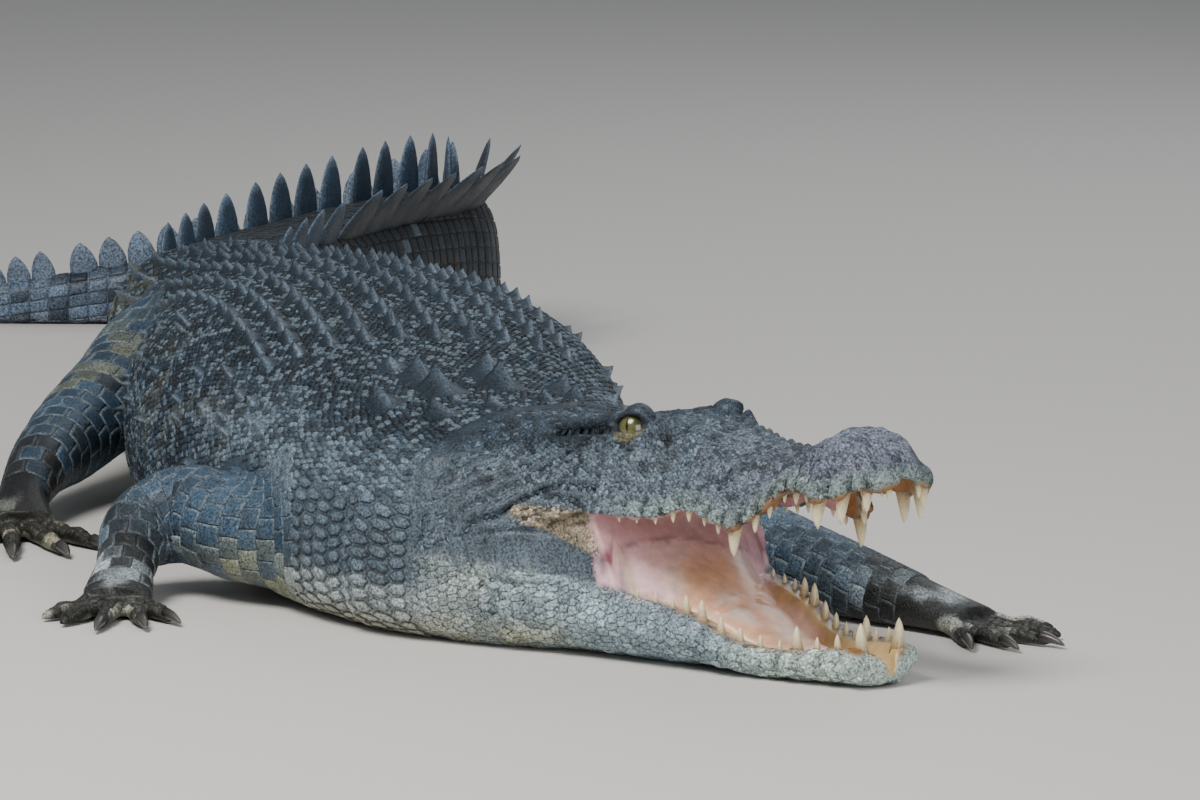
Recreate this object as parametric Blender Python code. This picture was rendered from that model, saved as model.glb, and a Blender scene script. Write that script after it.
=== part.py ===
"""A saltwater crocodile, life size, lying on its belly with its mouth open.

Frame: metres, +Z up, z = 0 is the floor. The origin is on the floor, under the middle of the belly. The
trunk points along -Y and a little towards +X, the head turns further towards +X, and the tail swings
back in an S that ends towards -X. Every part of the body is a loft of sections along a centre line.
"""

import math

import bmesh
import bpy
import numpy as np
from mathutils import Matrix, Vector

# ---------------------------------------------------------------- driving dimensions, in metres
CUT = 0.0008  # the thin cut that parts two neighbouring pieces of the body
STEP = 0.003  # half the stretch over which a centre line's direction is taken
SLACK = 0.0008  # how far a piece is carved back from the one that it grows out of

JAW_JOINT = Vector((0.304, -0.754, 0.112))  # the hinge of the jaws, on the middle plane of the head
HEAD_HEADING = math.radians(-48.0)  # where the head points, from +X towards -Y
HEAD_ROLL = math.radians(3.0)  # the head leans a little to the animal's left
CRANIUM_PITCH = math.radians(13.0)  # how far the upper jaw is lifted
HEAD_BACK = -0.030  # the upright cut between head and neck, behind the joint
SPINE_SIDES = 24  # corners of a section of the neck, trunk and tail

# The backbone seen from above, from the nape to the tip of the tail. Before it comes a short stretch
# straight back from the skull, so that the neck's first section is upright on the head's own heading.
NAPE_STRETCH = 0.035
SPINE_PATH = [
    (0.224, -0.652), (0.188, -0.572), (0.158, -0.470), (0.130, -0.340), (0.102, -0.200),
    (0.070, -0.060), (0.032, 0.080), (-0.012, 0.230), (-0.060, 0.380), (-0.115, 0.515),
    (-0.160, 0.655), (-0.130, 0.870), (-0.055, 1.100), (0.030, 1.320), (0.100, 1.500),
    (0.142, 1.620), (0.142, 1.730), (0.085, 1.815), (-0.020, 1.860), (-0.150, 1.880),
    (-0.290, 1.885), (-0.440, 1.885), (-0.580, 1.890), (-0.700, 1.900), (-0.810, 1.915),
]

# Distance along the spine, half width, height of the back, height of the widest place, and how square
# the shoulders of the section are (1 is an ellipse, less is squarer).
BODY = [
    (0.00, 0.212, 0.258, 0.082, 0.80),
    (0.10, 0.234, 0.264, 0.082, 0.80),
    (0.22, 0.256, 0.270, 0.088, 0.80),
    (0.40, 0.272, 0.286, 0.102, 0.80),
    (0.62, 0.296, 0.312, 0.120, 0.82),
    (0.80, 0.302, 0.320, 0.128, 0.82),
    (0.95, 0.280, 0.318, 0.130, 0.82),
    (1.12, 0.218, 0.308, 0.128, 0.82),
    (1.30, 0.172, 0.290, 0.122, 0.78),
    (1.52, 0.148, 0.268, 0.115, 0.72),
    (1.85, 0.110, 0.255, 0.110, 0.64),
    (2.20, 0.084, 0.248, 0.104, 0.64),
    (2.48, 0.064, 0.232, 0.098, 0.75),
    (2.70, 0.050, 0.190, 0.080, 0.90),
    (3.00, 0.034, 0.118, 0.052, 1.00),
    (3.30, 0.021, 0.062, 0.030, 1.00),
    (3.48, 0.012, 0.036, 0.018, 1.00),
    (3.60, 0.005, 0.018, 0.009, 1.00),
]
SPINE_PIECES = [
    ("neck", 0.00, 0.40, 6),
    ("trunk_front", 0.40, 0.98, 7),
    ("trunk_rear", 0.98, 1.52, 7),
    ("tail_1", 1.52, 1.86, 5),
    ("tail_2", 1.86, 2.20, 4),
    ("tail_3", 2.20, 2.52, 5),
    ("tail_4", 2.52, 2.82, 8),
    ("tail_5", 2.82, 3.22, 5),
    ("tail_6", 3.22, 3.60, 5),
]

# The skull and upper jaw, in the head's own frame: distance ahead of the joint, half width at the lip,
# height of the lip, half width of the top, height of the top, height of the palate.
CRANIUM = [
    (0.000, 0.196, 0.004, 0.085, 0.142, 0.012),
    (0.060, 0.182, 0.004, 0.080, 0.136, 0.016),
    (0.130, 0.160, 0.008, 0.078, 0.130, 0.022),
    (0.200, 0.143, 0.010, 0.074, 0.127, 0.024),
    (0.250, 0.134, 0.002, 0.064, 0.121, 0.020),
    (0.300, 0.122, -0.006, 0.050, 0.100, 0.014),
    (0.350, 0.112, -0.004, 0.044, 0.078, 0.012),
    (0.390, 0.110, -0.021, 0.044, 0.062, 0.004),
    (0.424, 0.106, -0.032, 0.042, 0.055, -0.002),
    (0.450, 0.090, -0.020, 0.040, 0.052, 0.002),
    (0.476, 0.068, 0.002, 0.036, 0.052, 0.012),
    (0.506, 0.068, -0.002, 0.036, 0.056, 0.010),
    (0.536, 0.074, -0.012, 0.040, 0.062, 0.006),
    (0.568, 0.069, -0.014, 0.038, 0.056, 0.002),
    (0.592, 0.054, -0.008, 0.028, 0.043, 0.002),
    (0.608, 0.034, -0.012, 0.016, 0.027, 0.000),
    (0.617, 0.014, -0.006, 0.008, 0.014, 0.000),
]

# The lower jaw: distance ahead of the joint, half width outside, height of the rim above the floor,
# half width of the underside, height of the underside, thickness of the jaw's two arms.
MANDIBLE = [
    (0.000, 0.204, 0.106, 0.165, 0.000, 0.080),
    (0.080, 0.180, 0.100, 0.136, 0.000, 0.062),
    (0.160, 0.150, 0.093, 0.100, 0.000, 0.044),
    (0.240, 0.130, 0.082, 0.082, 0.002, 0.036),
    (0.310, 0.114, 0.071, 0.070, 0.004, 0.034),
    (0.345, 0.106, 0.062, 0.062, 0.004, 0.034),
    (0.380, 0.098, 0.046, 0.056, 0.002, 0.034),
    (0.420, 0.087, 0.037, 0.048, 0.000, 0.034),
    (0.470, 0.071, 0.036, 0.040, 0.000, 0.034),
    (0.510, 0.061, 0.041, 0.034, 0.000, 0.034),
    (0.535, 0.055, 0.044, 0.030, 0.000, 0.032),
    (0.555, 0.045, 0.043, 0.024, 0.000, 0.028),
    (0.570, 0.028, 0.037, 0.014, 0.003, 0.018),
    (0.576, 0.012, 0.030, 0.006, 0.008, 0.008),
]
JAW_FLOOR_DROP = 0.024  # how far the floor of the mouth lies below the rim of the lower jaw
JAW_FLOOR_THICK = 0.012  # the least thickness of that floor
TROUGH_LEAST = 0.30  # of the half width, the least that is left open between the arms
TROUGH_FOOT = 0.80  # of the opening's half width at the rim, that at its floor
RIM_ROUND = (0.008, 0.002)  # how far in the rim's edge lies outside, and how far down inside
CHEEK_BULGE = 0.004  # the side's widest point stands out by this, at this share of the height
CHEEK_UP = 0.55
JOWL_IN, JOWL_UP = 0.28, 0.15  # the turn of the side into the underside: share inward, share up

# Teeth: distance ahead of the joint, height of the crown. One side; the other mirrors it.
UPPER_TEETH = [
    (0.609, 0.014), (0.595, 0.028), (0.570, 0.033), (0.536, 0.036), (0.508, 0.012), (0.489, 0.018),
    (0.472, 0.011), (0.458, 0.014), (0.444, 0.018), (0.422, 0.034), (0.396, 0.014), (0.374, 0.012),
    (0.350, 0.014), (0.326, 0.012), (0.300, 0.009), (0.274, 0.008), (0.250, 0.008),
]
LOWER_TEETH = [
    (0.556, 0.034), (0.528, 0.018), (0.500, 0.016), (0.474, 0.030), (0.450, 0.012), (0.426, 0.015),
    (0.400, 0.018), (0.374, 0.020), (0.348, 0.025), (0.326, 0.022), (0.306, 0.013), (0.282, 0.011),
    (0.256, 0.010),
]
TOOTH_ROOT = 0.010  # how deep a tooth is sunk in the gum
TOOTH_SLENDER = 0.30  # radius of a crown at the gum, as a share of its height
TOOTH_SPLAY = 0.13  # how far a point leans out, as a share of the crown's height
TOOTH_RAKE = 0.20  # how far an upper point leans back, which makes it hang straight down
LOWER_TOOTH_IN = 0.018  # from the outside of the lower jaw to its row of teeth

EYE_RADIUS = 0.020
EYE_PLACE = Vector((0.236, 0.074, 0.104))  # of the left eye, in the head's frame

# Shields on the nape: distance along the spine, offset from the middle, size and height.
NUCHALS = [
    (0.070, 0.100, 0.044, 0.024), (0.170, 0.040, 0.070, 0.034), (0.165, 0.110, 0.052, 0.028),
    (0.240, 0.042, 0.068, 0.030),
]

SHIELD_SINK = 0.012
SHIELD_SWEEP = 0.3  # how far back the top of a shield's keel lies, as a share of half its size

# The crest of the tail: distance along the spine, height, how far the tail is twisted to its left, how
# far the two rows lean apart, and the distance of each row from the middle. Where the two rows come
# closer than FIN_MERGE they go on as one.
CREST = [
    (1.52, 0.034, 0.06, 0.15, 0.078),
    (1.86, 0.062, 0.16, 0.28, 0.068),
    (2.20, 0.085, 0.40, 0.42, 0.056),
    (2.42, 0.095, 0.42, 0.42, 0.042),
    (2.60, 0.080, 0.12, 0.10, 0.010),
    (2.90, 0.050, 0.00, 0.05, 0.000),
    (3.30, 0.034, 0.00, 0.00, 0.000),
    (3.60, 0.010, 0.00, 0.00, 0.000),
]
FIN_MERGE = 0.016
# Distance along the spine, and from one fin to the next.
FIN_PITCH = [(1.52, 0.085), (2.10, 0.085), (2.60, 0.060), (3.00, 0.045), (3.60, 0.034)]
FIN_LENGTH = 0.92  # of the pitch that a fin's foot takes up
FIN_WAIST = (0.50, 0.86, 0.12)  # half way up: share of the height, of the length, and of the sweep back
FIN_SWEEP = 0.32  # how far the point lies behind the foot's middle, as a share of the length
FIN_THICK = 0.014
FIN_TAPER = (0.80, 0.35)  # of that thickness, half way up and at the point
FIN_MARGIN = 0.010  # how far the fins keep from the cuts between two lengths of the tail
FIN_REACH = 0.98  # a row keeps on the back: at most this share of the half width from the middle
FIN_SINK = 0.014  # how deep a fin is rooted in the tail
BELLY_SQUARE = 0.55  # the lower half of a section is squarer than the upper one
BELLY_SINK = 0.020  # how far the round of the belly would reach below the floor; it is flat instead

# Limbs: the centre line from inside the trunk to the knuckles; half width and half height of the section
# at each of its points; the shares of its length where its three pieces begin; which way the hand or
# foot points, in degrees from +X; and the side of its first toe, 1 on the left of that way.
ARM_SECTIONS = [(0.072, 0.082), (0.066, 0.070), (0.060, 0.064), (0.056, 0.062), (0.048, 0.052),
                (0.038, 0.034), (0.046, 0.020)]
LEG_SECTIONS = [(0.100, 0.095), (0.088, 0.085), (0.066, 0.068), (0.056, 0.056), (0.042, 0.042),
                (0.036, 0.028), (0.050, 0.020)]
LIMBS = {
    "arm_right": ([(0.110, -0.625, 0.086), (0.010, -0.612, 0.082), (-0.085, -0.568, 0.086),
                   (-0.165, -0.505, 0.096), (-0.212, -0.520, 0.080), (-0.228, -0.590, 0.046),
                   (-0.236, -0.680, 0.020)], ARM_SECTIONS, (0.0, 0.62, 0.86), -98.0, 1),
    "arm_left": ([(0.260, -0.400, 0.150), (0.370, -0.460, 0.140), (0.480, -0.545, 0.096),
                  (0.560, -0.610, 0.062), (0.650, -0.690, 0.042), (0.745, -0.780, 0.026),
                  (0.800, -0.830, 0.018)], ARM_SECTIONS, (0.0, 0.50, 0.84), -42.0, -1),
    "leg_right": ([(-0.140, 0.540, 0.140), (-0.215, 0.460, 0.155), (-0.285, 0.320, 0.120),
                   (-0.340, 0.170, 0.085), (-0.370, 0.060, 0.066), (-0.385, -0.030, 0.040),
                   (-0.385, -0.100, 0.020)], LEG_SECTIONS, (0.0, 0.52, 0.86), -78.0, 1),
    "leg_left": ([(-0.100, 0.520, 0.140), (0.010, 0.495, 0.140), (0.118, 0.455, 0.115),
                  (0.205, 0.440, 0.085), (0.268, 0.510, 0.055), (0.290, 0.610, 0.030),
                  (0.296, 0.680, 0.020)], LEG_SECTIONS, (0.0, 0.54, 0.86), 80.0, 1),
}

PIECE_NAMES = {"arm": ("upper", "fore", "hand"), "leg": ("thigh", "shank", "foot")}
TOE_LENGTHS = {"arm": (0.070, 0.100, 0.115, 0.100, 0.075), "leg": (0.120, 0.150, 0.155, 0.125)}
TOE_SPREAD = {"arm": math.radians(78), "leg": math.radians(46)}
TOE_RADIUS = {"arm": 0.013, "leg": 0.014}
CLAWED_TOES = 3  # only the three inner toes of a crocodile's foot have claws
CLAW_LENGTH = 0.030
CLAW_SUNK = 0.5  # of its length, how far its root lies behind the toe's tip
CLAW_OUT = 0.8  # and how far its point lies ahead of it
CLAW_HEIGHTS = (0.90, 0.35)  # of the toe's radius, its root and its point over the floor
CLAW_STOUT = 0.55
TOE_SHAPE = [(0.00, 0.90, 0.80), (0.70, 0.82, 0.74), (1.00, 0.35, 0.35)]  # along, width, height
PALM_WIDTH = {"arm": 0.068, "leg": 0.074}  # from the first toe's root to the last one's
TOE_ROOT = 0.025  # how far a toe reaches back into the palm
LIMB_RINGS = (6, 5, 4)
TOE_SOLE = 1.25  # past 1, a toe's round reaches below the floor and is cut to a flat sole
TOE_SIDES = 6
LIMB_LIFT = 0.003  # the palm and forearm stay this far above the floor; the toes' soles rest on it
LIMB_SIDES = 12
TOOTH_SIDES = 5
ARCH_STEPS = 11
ARCH_RISE, ARCH_SPREAD, ARCH_FLAT = 0.75, 0.70, 2.2  # how square, splayed and flat-topped the arch is
PALATE_SHARE = 0.85  # of the width between the lips, that of the palate
LIP_MOST = 0.4  # of the half width, the most that a lip takes
CRANIUM_RINGS, CRANIUM_START = 16, 0.020
MANDIBLE_RINGS, MANDIBLE_START = 13, 0.030
BEND_LENGTH = 0.15  # the stretch behind the eye over which the skull's sections lean back
LIP_WIDTH = 0.020
TONGUE_SPAN = (0.210, 0.500)
TONGUE_SWELL = 0.020
TONGUE_GAP = 0.004  # between the tongue and the jaw's arms
TONGUE_EDGE = 0.004  # thickness of its rim
TONGUE_SHOULDER = (0.6, 0.8)  # of its half width and of its swell
CORNER_SPAN = (0.004, 0.205)
CORNER_RINGS = 5
CORNER_GAP = 0.0018  # from the flesh of the mouth's corner to each jaw
CORNER_IN = 0.006  # how far it lies inside the outer face of the jaws
CORNER_HOLLOW = 0.004  # how far it is drawn in half way up
EYE_SIDES = 12
EYE_GLOSS = 0.1

BODY_COLLECTION = "saltwater_crocodile"
CUTTER_COLLECTION = "cutters"
SLATE = (0.085, 0.105, 0.125)
PALE_SLATE = (0.36, 0.42, 0.46)
PINK = (0.55, 0.30, 0.24)
TAN = (0.56, 0.35, 0.17)
YELLOW_GREEN = (0.42, 0.42, 0.06)


# ---------------------------------------------------------------- curves and lofts
def smooth(table, at):
    """The rows of a table at new places, by cubic pieces through its rows, which start with the place."""
    rows = np.array(table, float)
    place, value = rows[:, 0], rows[:, 1:]
    slope = np.gradient(value, place, axis=0)
    at = np.clip(np.atleast_1d(at).astype(float), place[0], place[-1])
    left = np.clip(np.searchsorted(place, at, side="right") - 1, 0, len(place) - 2)
    gap = (place[left + 1] - place[left])[:, None]
    t = ((at - place[left])[:, None]) / gap
    return ((2 * t**3 - 3 * t**2 + 1) * value[left] + (t**3 - 2 * t**2 + t) * gap * slope[left]
            + (3 * t**2 - 2 * t**3) * value[left + 1] + (t**3 - t**2) * gap * slope[left + 1])


def measured(points):
    """The points of a path, each with its distance along the path in front of it."""
    points = np.array(points, float)
    steps = np.linalg.norm(np.diff(points, axis=0), axis=1)
    return np.column_stack([np.concatenate([[0], np.cumsum(steps)]), points])


def finish(name, mesh_data, colour, roughness=0.6):
    """An object of one closed mesh, with its own material, in the crocodile's collection."""
    mesh = bpy.data.meshes.new(name)
    mesh_data.to_mesh(mesh)
    mesh_data.free()
    material = bpy.data.materials.new(name)
    material.use_nodes = True
    shader = material.node_tree.nodes["Principled BSDF"]
    shader.inputs["Base Color"].default_value = (*colour, 1)
    shader.inputs["Roughness"].default_value = roughness
    shader.inputs["Metallic"].default_value = 0
    mesh.materials.append(material)
    piece = bpy.data.objects.new(name, mesh)
    bpy.data.collections[BODY_COLLECTION].objects.link(piece)
    return piece


def loft(rings, into=None):
    """A closed tube through rings of equal count, its two ends filled, with its faces turned outward."""
    work = into or bmesh.new()
    rows = [[work.verts.new(Vector(corner)) for corner in ring] for ring in rings]
    count = len(rows[0])
    faces = []
    for near, far in zip(rows, rows[1:]):
        for i in range(count):
            j = (i + 1) % count
            faces.append(work.faces.new((near[i], near[j], far[j], far[i])))
    faces.append(work.faces.new(rows[0][::-1]))
    faces.append(work.faces.new(rows[-1]))
    bmesh.ops.triangulate(work, faces=faces)
    made = [f for f in work.faces if f.is_valid]
    bmesh.ops.recalc_face_normals(work, faces=made)
    return work


def boolean(piece, cutter, operation):
    """Joins the cutter to the piece, or takes it away, and drops the cutter."""
    modifier = piece.modifiers.new(operation.lower(), "BOOLEAN")
    modifier.operation = operation
    modifier.solver = "EXACT"
    modifier.object = cutter
    cutter.hide_render = True
    cutter.display_type = "WIRE"


def tool(name, mesh_data):
    """A hidden shape that a Boolean uses, in the collection of cutters."""
    mesh = bpy.data.meshes.new(name)
    mesh_data.to_mesh(mesh)
    mesh_data.free()
    piece = bpy.data.objects.new(name, mesh)
    bpy.data.collections[CUTTER_COLLECTION].objects.link(piece)
    return piece


# ---------------------------------------------------------------- neck, trunk and tail
def spine_path():
    """The backbone's points seen from above, with the distance along it in front of each."""
    forward = Vector((math.cos(HEAD_HEADING), math.sin(HEAD_HEADING), 0))
    skull = JAW_JOINT + forward * HEAD_BACK
    nape = skull - forward * NAPE_STRETCH
    return measured([skull[:2], nape[:2], *SPINE_PATH])


def spine_frames(along):
    """The centre on the floor, the way to the tail and the way to the animal's left, along the spine."""
    path = spine_path()
    centre = smooth(path, along)
    ahead = smooth(path, np.asarray(along) + STEP) - smooth(path, np.asarray(along) - STEP)
    ahead /= np.linalg.norm(ahead, axis=1)[:, None]
    left = np.column_stack([ahead[:, 1], -ahead[:, 0]])
    return centre, ahead, left


def spine_section(along, around, grow=0.0):
    """Points round the body at one place along the spine; around is 0 on the left, 90 degrees on top."""
    centre, _, left = spine_frames([along])
    half, top, widest, square = smooth(BODY, [along])[0]
    cosine, sine = np.cos(around), np.sin(around)
    across = (half + grow) * np.sign(cosine) * np.abs(cosine)**square
    up = widest + (top + grow - widest) * np.abs(sine)**square
    down = widest - (widest + grow + BELLY_SINK) * np.abs(sine)**BELLY_SQUARE
    height = np.where(sine >= 0, up, np.maximum(down, -grow))
    flat = centre[0] + across[:, None] * left[0]
    return np.column_stack([flat, height])


def spine_rings(start, end, count, grow=0.0):
    """Rings from start to end; each end ring is moved straight in by half a cut, so the cut is even."""
    around = np.linspace(0, math.tau, SPINE_SIDES, endpoint=False)
    rings = [spine_section(s, around, grow) for s in np.linspace(start, end, count)]
    _, ahead, _ = spine_frames([start, end])
    rings[0][:, :2] += ahead[0] * CUT / 2
    rings[-1][:, :2] -= ahead[1] * CUT / 2
    return rings


def crest_fins(start, end):
    """The upright scutes of the tail's crest between two cuts: two rows, then one, as low sharp fins."""
    work = bmesh.new()
    count = max(2, round((end - start) / smooth(FIN_PITCH, [(start + end) / 2])[0][0]))
    pitch = (end - start - 2 * FIN_MARGIN) / count
    for i in range(count):
        s = start + FIN_MARGIN + pitch * (i + 0.5)
        height, twist, spread, offset = smooth(CREST, [s])[0]
        rows = (-1, 1) if offset > FIN_MERGE else (0,)
        for side in rows:
            add_fin(work, s, side * offset, twist + side * spread, height, pitch * FIN_LENGTH)
    return work


def add_fin(work, s, offset, lean, height, length):
    """One fin: a thin leaf whose point is swept towards the tail's tip and leans outward."""
    centre, ahead, left = spine_frames([s])
    half, top, widest, square = smooth(BODY, [s])[0]
    share = min(abs(offset) / half, FIN_REACH)
    rise = (1 - share**(2 / square))**(square / 2)
    sink = min(FIN_SINK, top / 3)
    seat = widest + (top - widest) * rise - sink
    root = Vector((*(centre[0] + left[0] * offset), seat))
    back = Vector((*ahead[0], 0))
    side = Vector((*left[0], 0))
    out = (Vector((0, 0, 1)) + side * lean).normalized()
    thick = side * min(FIN_THICK, half) / 2
    tall, wide, swept = FIN_WAIST
    waist = root + out * (height + sink) * tall + back * length * swept
    point = root + out * (height + sink) + back * length * FIN_SWEEP
    corners = [root - back * length / 2 - thick, root + back * length / 2 - thick,
               root + back * length / 2 + thick, root - back * length / 2 + thick,
               waist - back * length * wide / 2 - thick * FIN_TAPER[0],
               waist + back * length * wide / 2 - thick * FIN_TAPER[0],
               waist + back * length * wide / 2 + thick * FIN_TAPER[0],
               waist - back * length * wide / 2 + thick * FIN_TAPER[0],
               point - thick * FIN_TAPER[1], point + thick * FIN_TAPER[1]]
    v = [work.verts.new(c) for c in corners]
    for face in ((0, 1, 2, 3), (0, 4, 5, 1), (1, 5, 6, 2), (2, 6, 7, 3), (3, 7, 4, 0),
                 (4, 8, 5), (5, 8, 9, 6), (6, 9, 7), (7, 9, 8, 4)):
        work.faces.new([v[i] for i in face])
    bmesh.ops.triangulate(work, faces=list(work.faces))
    bmesh.ops.recalc_face_normals(work, faces=list(work.faces))


def nuchal_scutes():
    """The tall keeled shields on the nape, as four-sided pyramids."""
    work = bmesh.new()
    for s, offset, size, height in NUCHALS:
        for side in ((-1, 1) if offset else (0,)):
            add_shield(work, s, side * offset, size, height)
    return work


def add_shield(work, s, offset, size, height):
    """One pyramid on the back, its foot sunk in the skin."""
    half, _, _, square = smooth(BODY, [s])[0]
    around = math.acos(min(1, abs(offset) / half)**(1 / square))
    around = around if offset > 0 else math.pi - around
    seat = Vector(spine_section(s, np.array([around]))[0])
    _, ahead, left = spine_frames([s])
    back = Vector((*ahead[0], 0)) * size / 2
    side = Vector((*left[0], 0)) * size / 2
    sunk = Vector((0, 0, -SHIELD_SINK))
    foot = [seat - back - side + sunk, seat + back - side + sunk, seat + back + side + sunk,
            seat - back + side + sunk]
    v = [work.verts.new(c) for c in [*foot, seat + Vector((0, 0, height)) + back * SHIELD_SWEEP]]
    for face in ((0, 1, 2, 3), (0, 1, 4), (1, 2, 4), (2, 3, 4), (3, 0, 4)):
        work.faces.new([v[i] for i in face])
    bmesh.ops.triangulate(work, faces=list(work.faces))
    bmesh.ops.recalc_face_normals(work, faces=list(work.faces))


def build_spine():
    """Neck, trunk and tail, one piece for each stretch between two cuts."""
    for name, start, end, count in SPINE_PIECES:
        piece = finish(name, loft(spine_rings(start, end, count)), SLATE)
        if name == "neck":
            boolean(piece, tool("nuchal_tool", nuchal_scutes()), "UNION")
        if name.startswith("tail"):
            boolean(piece, tool(name + "_crest_tool", crest_fins(start, end)), "UNION")


# ---------------------------------------------------------------- head and jaws
def head_point(ahead, left, up, pitch, bend=1.0):
    """A point of the head's own frame, in the world. pitch lifts the snout about the jaw's joint; bend
    is how far the section at this place leans back with it, 0 where it must stay upright."""
    forward = Vector((math.cos(HEAD_HEADING), math.sin(HEAD_HEADING), 0))
    lateral = Vector((-math.sin(HEAD_HEADING), math.cos(HEAD_HEADING), 0))
    roll, lean = HEAD_ROLL * bend, pitch * bend
    across = left * math.cos(roll) + up * math.sin(roll)
    raised = up * math.cos(roll) - left * math.sin(roll)
    run = ahead * math.cos(pitch) - raised * math.sin(lean)
    rise = ahead * math.sin(pitch) + raised * math.cos(lean)
    return JAW_JOINT + forward * run + lateral * across + Vector((0, 0, rise))


def bend_at(ahead):
    """How far a section leans with the upper jaw: not at all at the neck's cut, fully past the cheeks."""
    return min(max((ahead - HEAD_BACK) / BEND_LENGTH, 0), 1)


def jaw_point(ahead, left, up):
    """A point beside the jaw's joint, in the world, with its height over the floor."""
    forward = Vector((math.cos(HEAD_HEADING), math.sin(HEAD_HEADING), 0))
    lateral = Vector((-math.sin(HEAD_HEADING), math.cos(HEAD_HEADING), 0))
    return Vector((JAW_JOINT.x, JAW_JOINT.y, up)) + forward * ahead + lateral * left


def trough(ahead):
    """Half the width between the lower jaw's arms, and the height of the floor between them."""
    half, rim, _, keel, arm = smooth(MANDIBLE, [ahead])[0]
    return max(half - arm, half * TROUGH_LEAST), max(rim - JAW_FLOOR_DROP, keel + JAW_FLOOR_THICK)


def cranium_ring(ahead):
    """A section of the upper jaw: over the top in an arch, then in past the lips along the palate."""
    half, lip, crown_half, crown, palate = smooth(CRANIUM, [ahead])[0]
    profile = []
    for angle in np.linspace(0, math.pi, ARCH_STEPS):
        rise = abs(math.sin(angle))**ARCH_RISE
        width = crown_half + (half - crown_half) * (1 - rise)**ARCH_SPREAD
        flat = math.copysign(min(abs(math.cos(angle)) * ARCH_FLAT, 1), math.cos(angle))
        profile.append((width * flat, lip + (crown - lip) * rise))
    inner = half - min(LIP_WIDTH, half * LIP_MOST)
    roof = inner * PALATE_SHARE
    profile += [(-inner, lip), (-roof, palate), (roof, palate), (inner, lip)]
    return [head_point(ahead, left, up, CRANIUM_PITCH, bend_at(ahead)) for left, up in profile]


def mandible_ring(ahead):
    """A section of the lower jaw: a trough, with its floor below the rims."""
    half, rim, keel_half, keel, _ = smooth(MANDIBLE, [ahead])[0]
    keel = max(keel, 0)
    inner, floor = trough(ahead)
    deep = rim - keel
    right = [(inner * TROUGH_FOOT, floor), (inner, rim - RIM_ROUND[1]), (half - RIM_ROUND[0], rim),
             (half + CHEEK_BULGE, keel + deep * CHEEK_UP),
             (half + (keel_half - half) * JOWL_IN, keel + deep * JOWL_UP), (keel_half, keel)]
    profile = [(-a, b) for a, b in right] + right[::-1]
    return [jaw_point(ahead, left, up) for left, up in profile]


def cone(work, foot, point, radius):
    """A tooth or claw: a slender cone from its root to its point."""
    axis = point - foot
    turn = axis.to_track_quat("Z", "Y").to_matrix().to_4x4()
    place = Matrix.Translation(foot + axis / 2) @ turn
    bmesh.ops.create_cone(work, cap_ends=True, cap_tris=True, segments=TOOTH_SIDES, radius1=radius,
                          radius2=0, depth=axis.length, matrix=place)


def upper_teeth():
    """The row of teeth in each side of the upper jaw, pointing down and a little out."""
    work = bmesh.new()
    for ahead, height in UPPER_TEETH:
        half, lip, _, _, _ = smooth(CRANIUM, [ahead])[0]
        for side in (-1, 1):
            across = side * (half - LIP_WIDTH / 2)
            foot = head_point(ahead, across, lip + TOOTH_ROOT, CRANIUM_PITCH)
            point = head_point(ahead - height * TOOTH_RAKE, across + side * height * TOOTH_SPLAY,
                               lip - height, CRANIUM_PITCH)
            cone(work, foot, point, height * TOOTH_SLENDER)
    return work


def lower_teeth():
    """The row of teeth in each side of the lower jaw, pointing up and a little out."""
    work = bmesh.new()
    for ahead, height in LOWER_TEETH:
        half, rim, _, _, _ = smooth(MANDIBLE, [ahead])[0]
        across = half - LOWER_TOOTH_IN
        for side in (-1, 1):
            foot = jaw_point(ahead, side * across, rim - TOOTH_ROOT)
            point = jaw_point(ahead, side * (across + height * TOOTH_SPLAY), rim + height)
            cone(work, foot, point, height * TOOTH_SLENDER)
    return work


def tongue_ring(ahead):
    """A section of the tongue and floor of the mouth, a low pad between the arms of the lower jaw."""
    inner, floor = trough(ahead)
    inner = inner * TROUGH_FOOT - TONGUE_GAP
    floor += SLACK
    edge = floor + TONGUE_EDGE
    begin, end = TONGUE_SPAN
    swell = TONGUE_SWELL * math.sqrt(math.sin(math.pi * (ahead - begin) / (end - begin)))
    side, high = inner * TONGUE_SHOULDER[0], edge + swell * TONGUE_SHOULDER[1]
    profile = [(-inner, floor), (-inner, edge), (-side, high), (0, edge + swell), (side, high),
               (inner, edge), (inner, floor)]
    return [jaw_point(ahead, left, up) for left, up in profile]


def corner_ring(ahead):
    """A section of the flesh between the jaws, from the palate down to the lower jaw's rims."""
    half, lip, _, _, _ = smooth(CRANIUM, [ahead])[0]
    low_half, rim, _, _, _ = smooth(MANDIBLE, [ahead])[0]
    bend = bend_at(ahead)
    wide = min(half, low_half) - CORNER_IN
    across = (wide, wide / 2, -wide / 2, -wide)
    upper = [head_point(ahead, left, lip - CORNER_GAP, CRANIUM_PITCH, bend) for left in across]
    lower = [jaw_point(ahead, -left, rim + CORNER_GAP) for left in across]
    inward = jaw_point(ahead, CORNER_HOLLOW, 0) - jaw_point(ahead, 0, 0)
    middle_right = (upper[-1] + lower[0]) / 2 + inward
    middle_left = (upper[0] + lower[-1]) / 2 - inward
    return [*upper, middle_right, *lower, middle_left]


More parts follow.
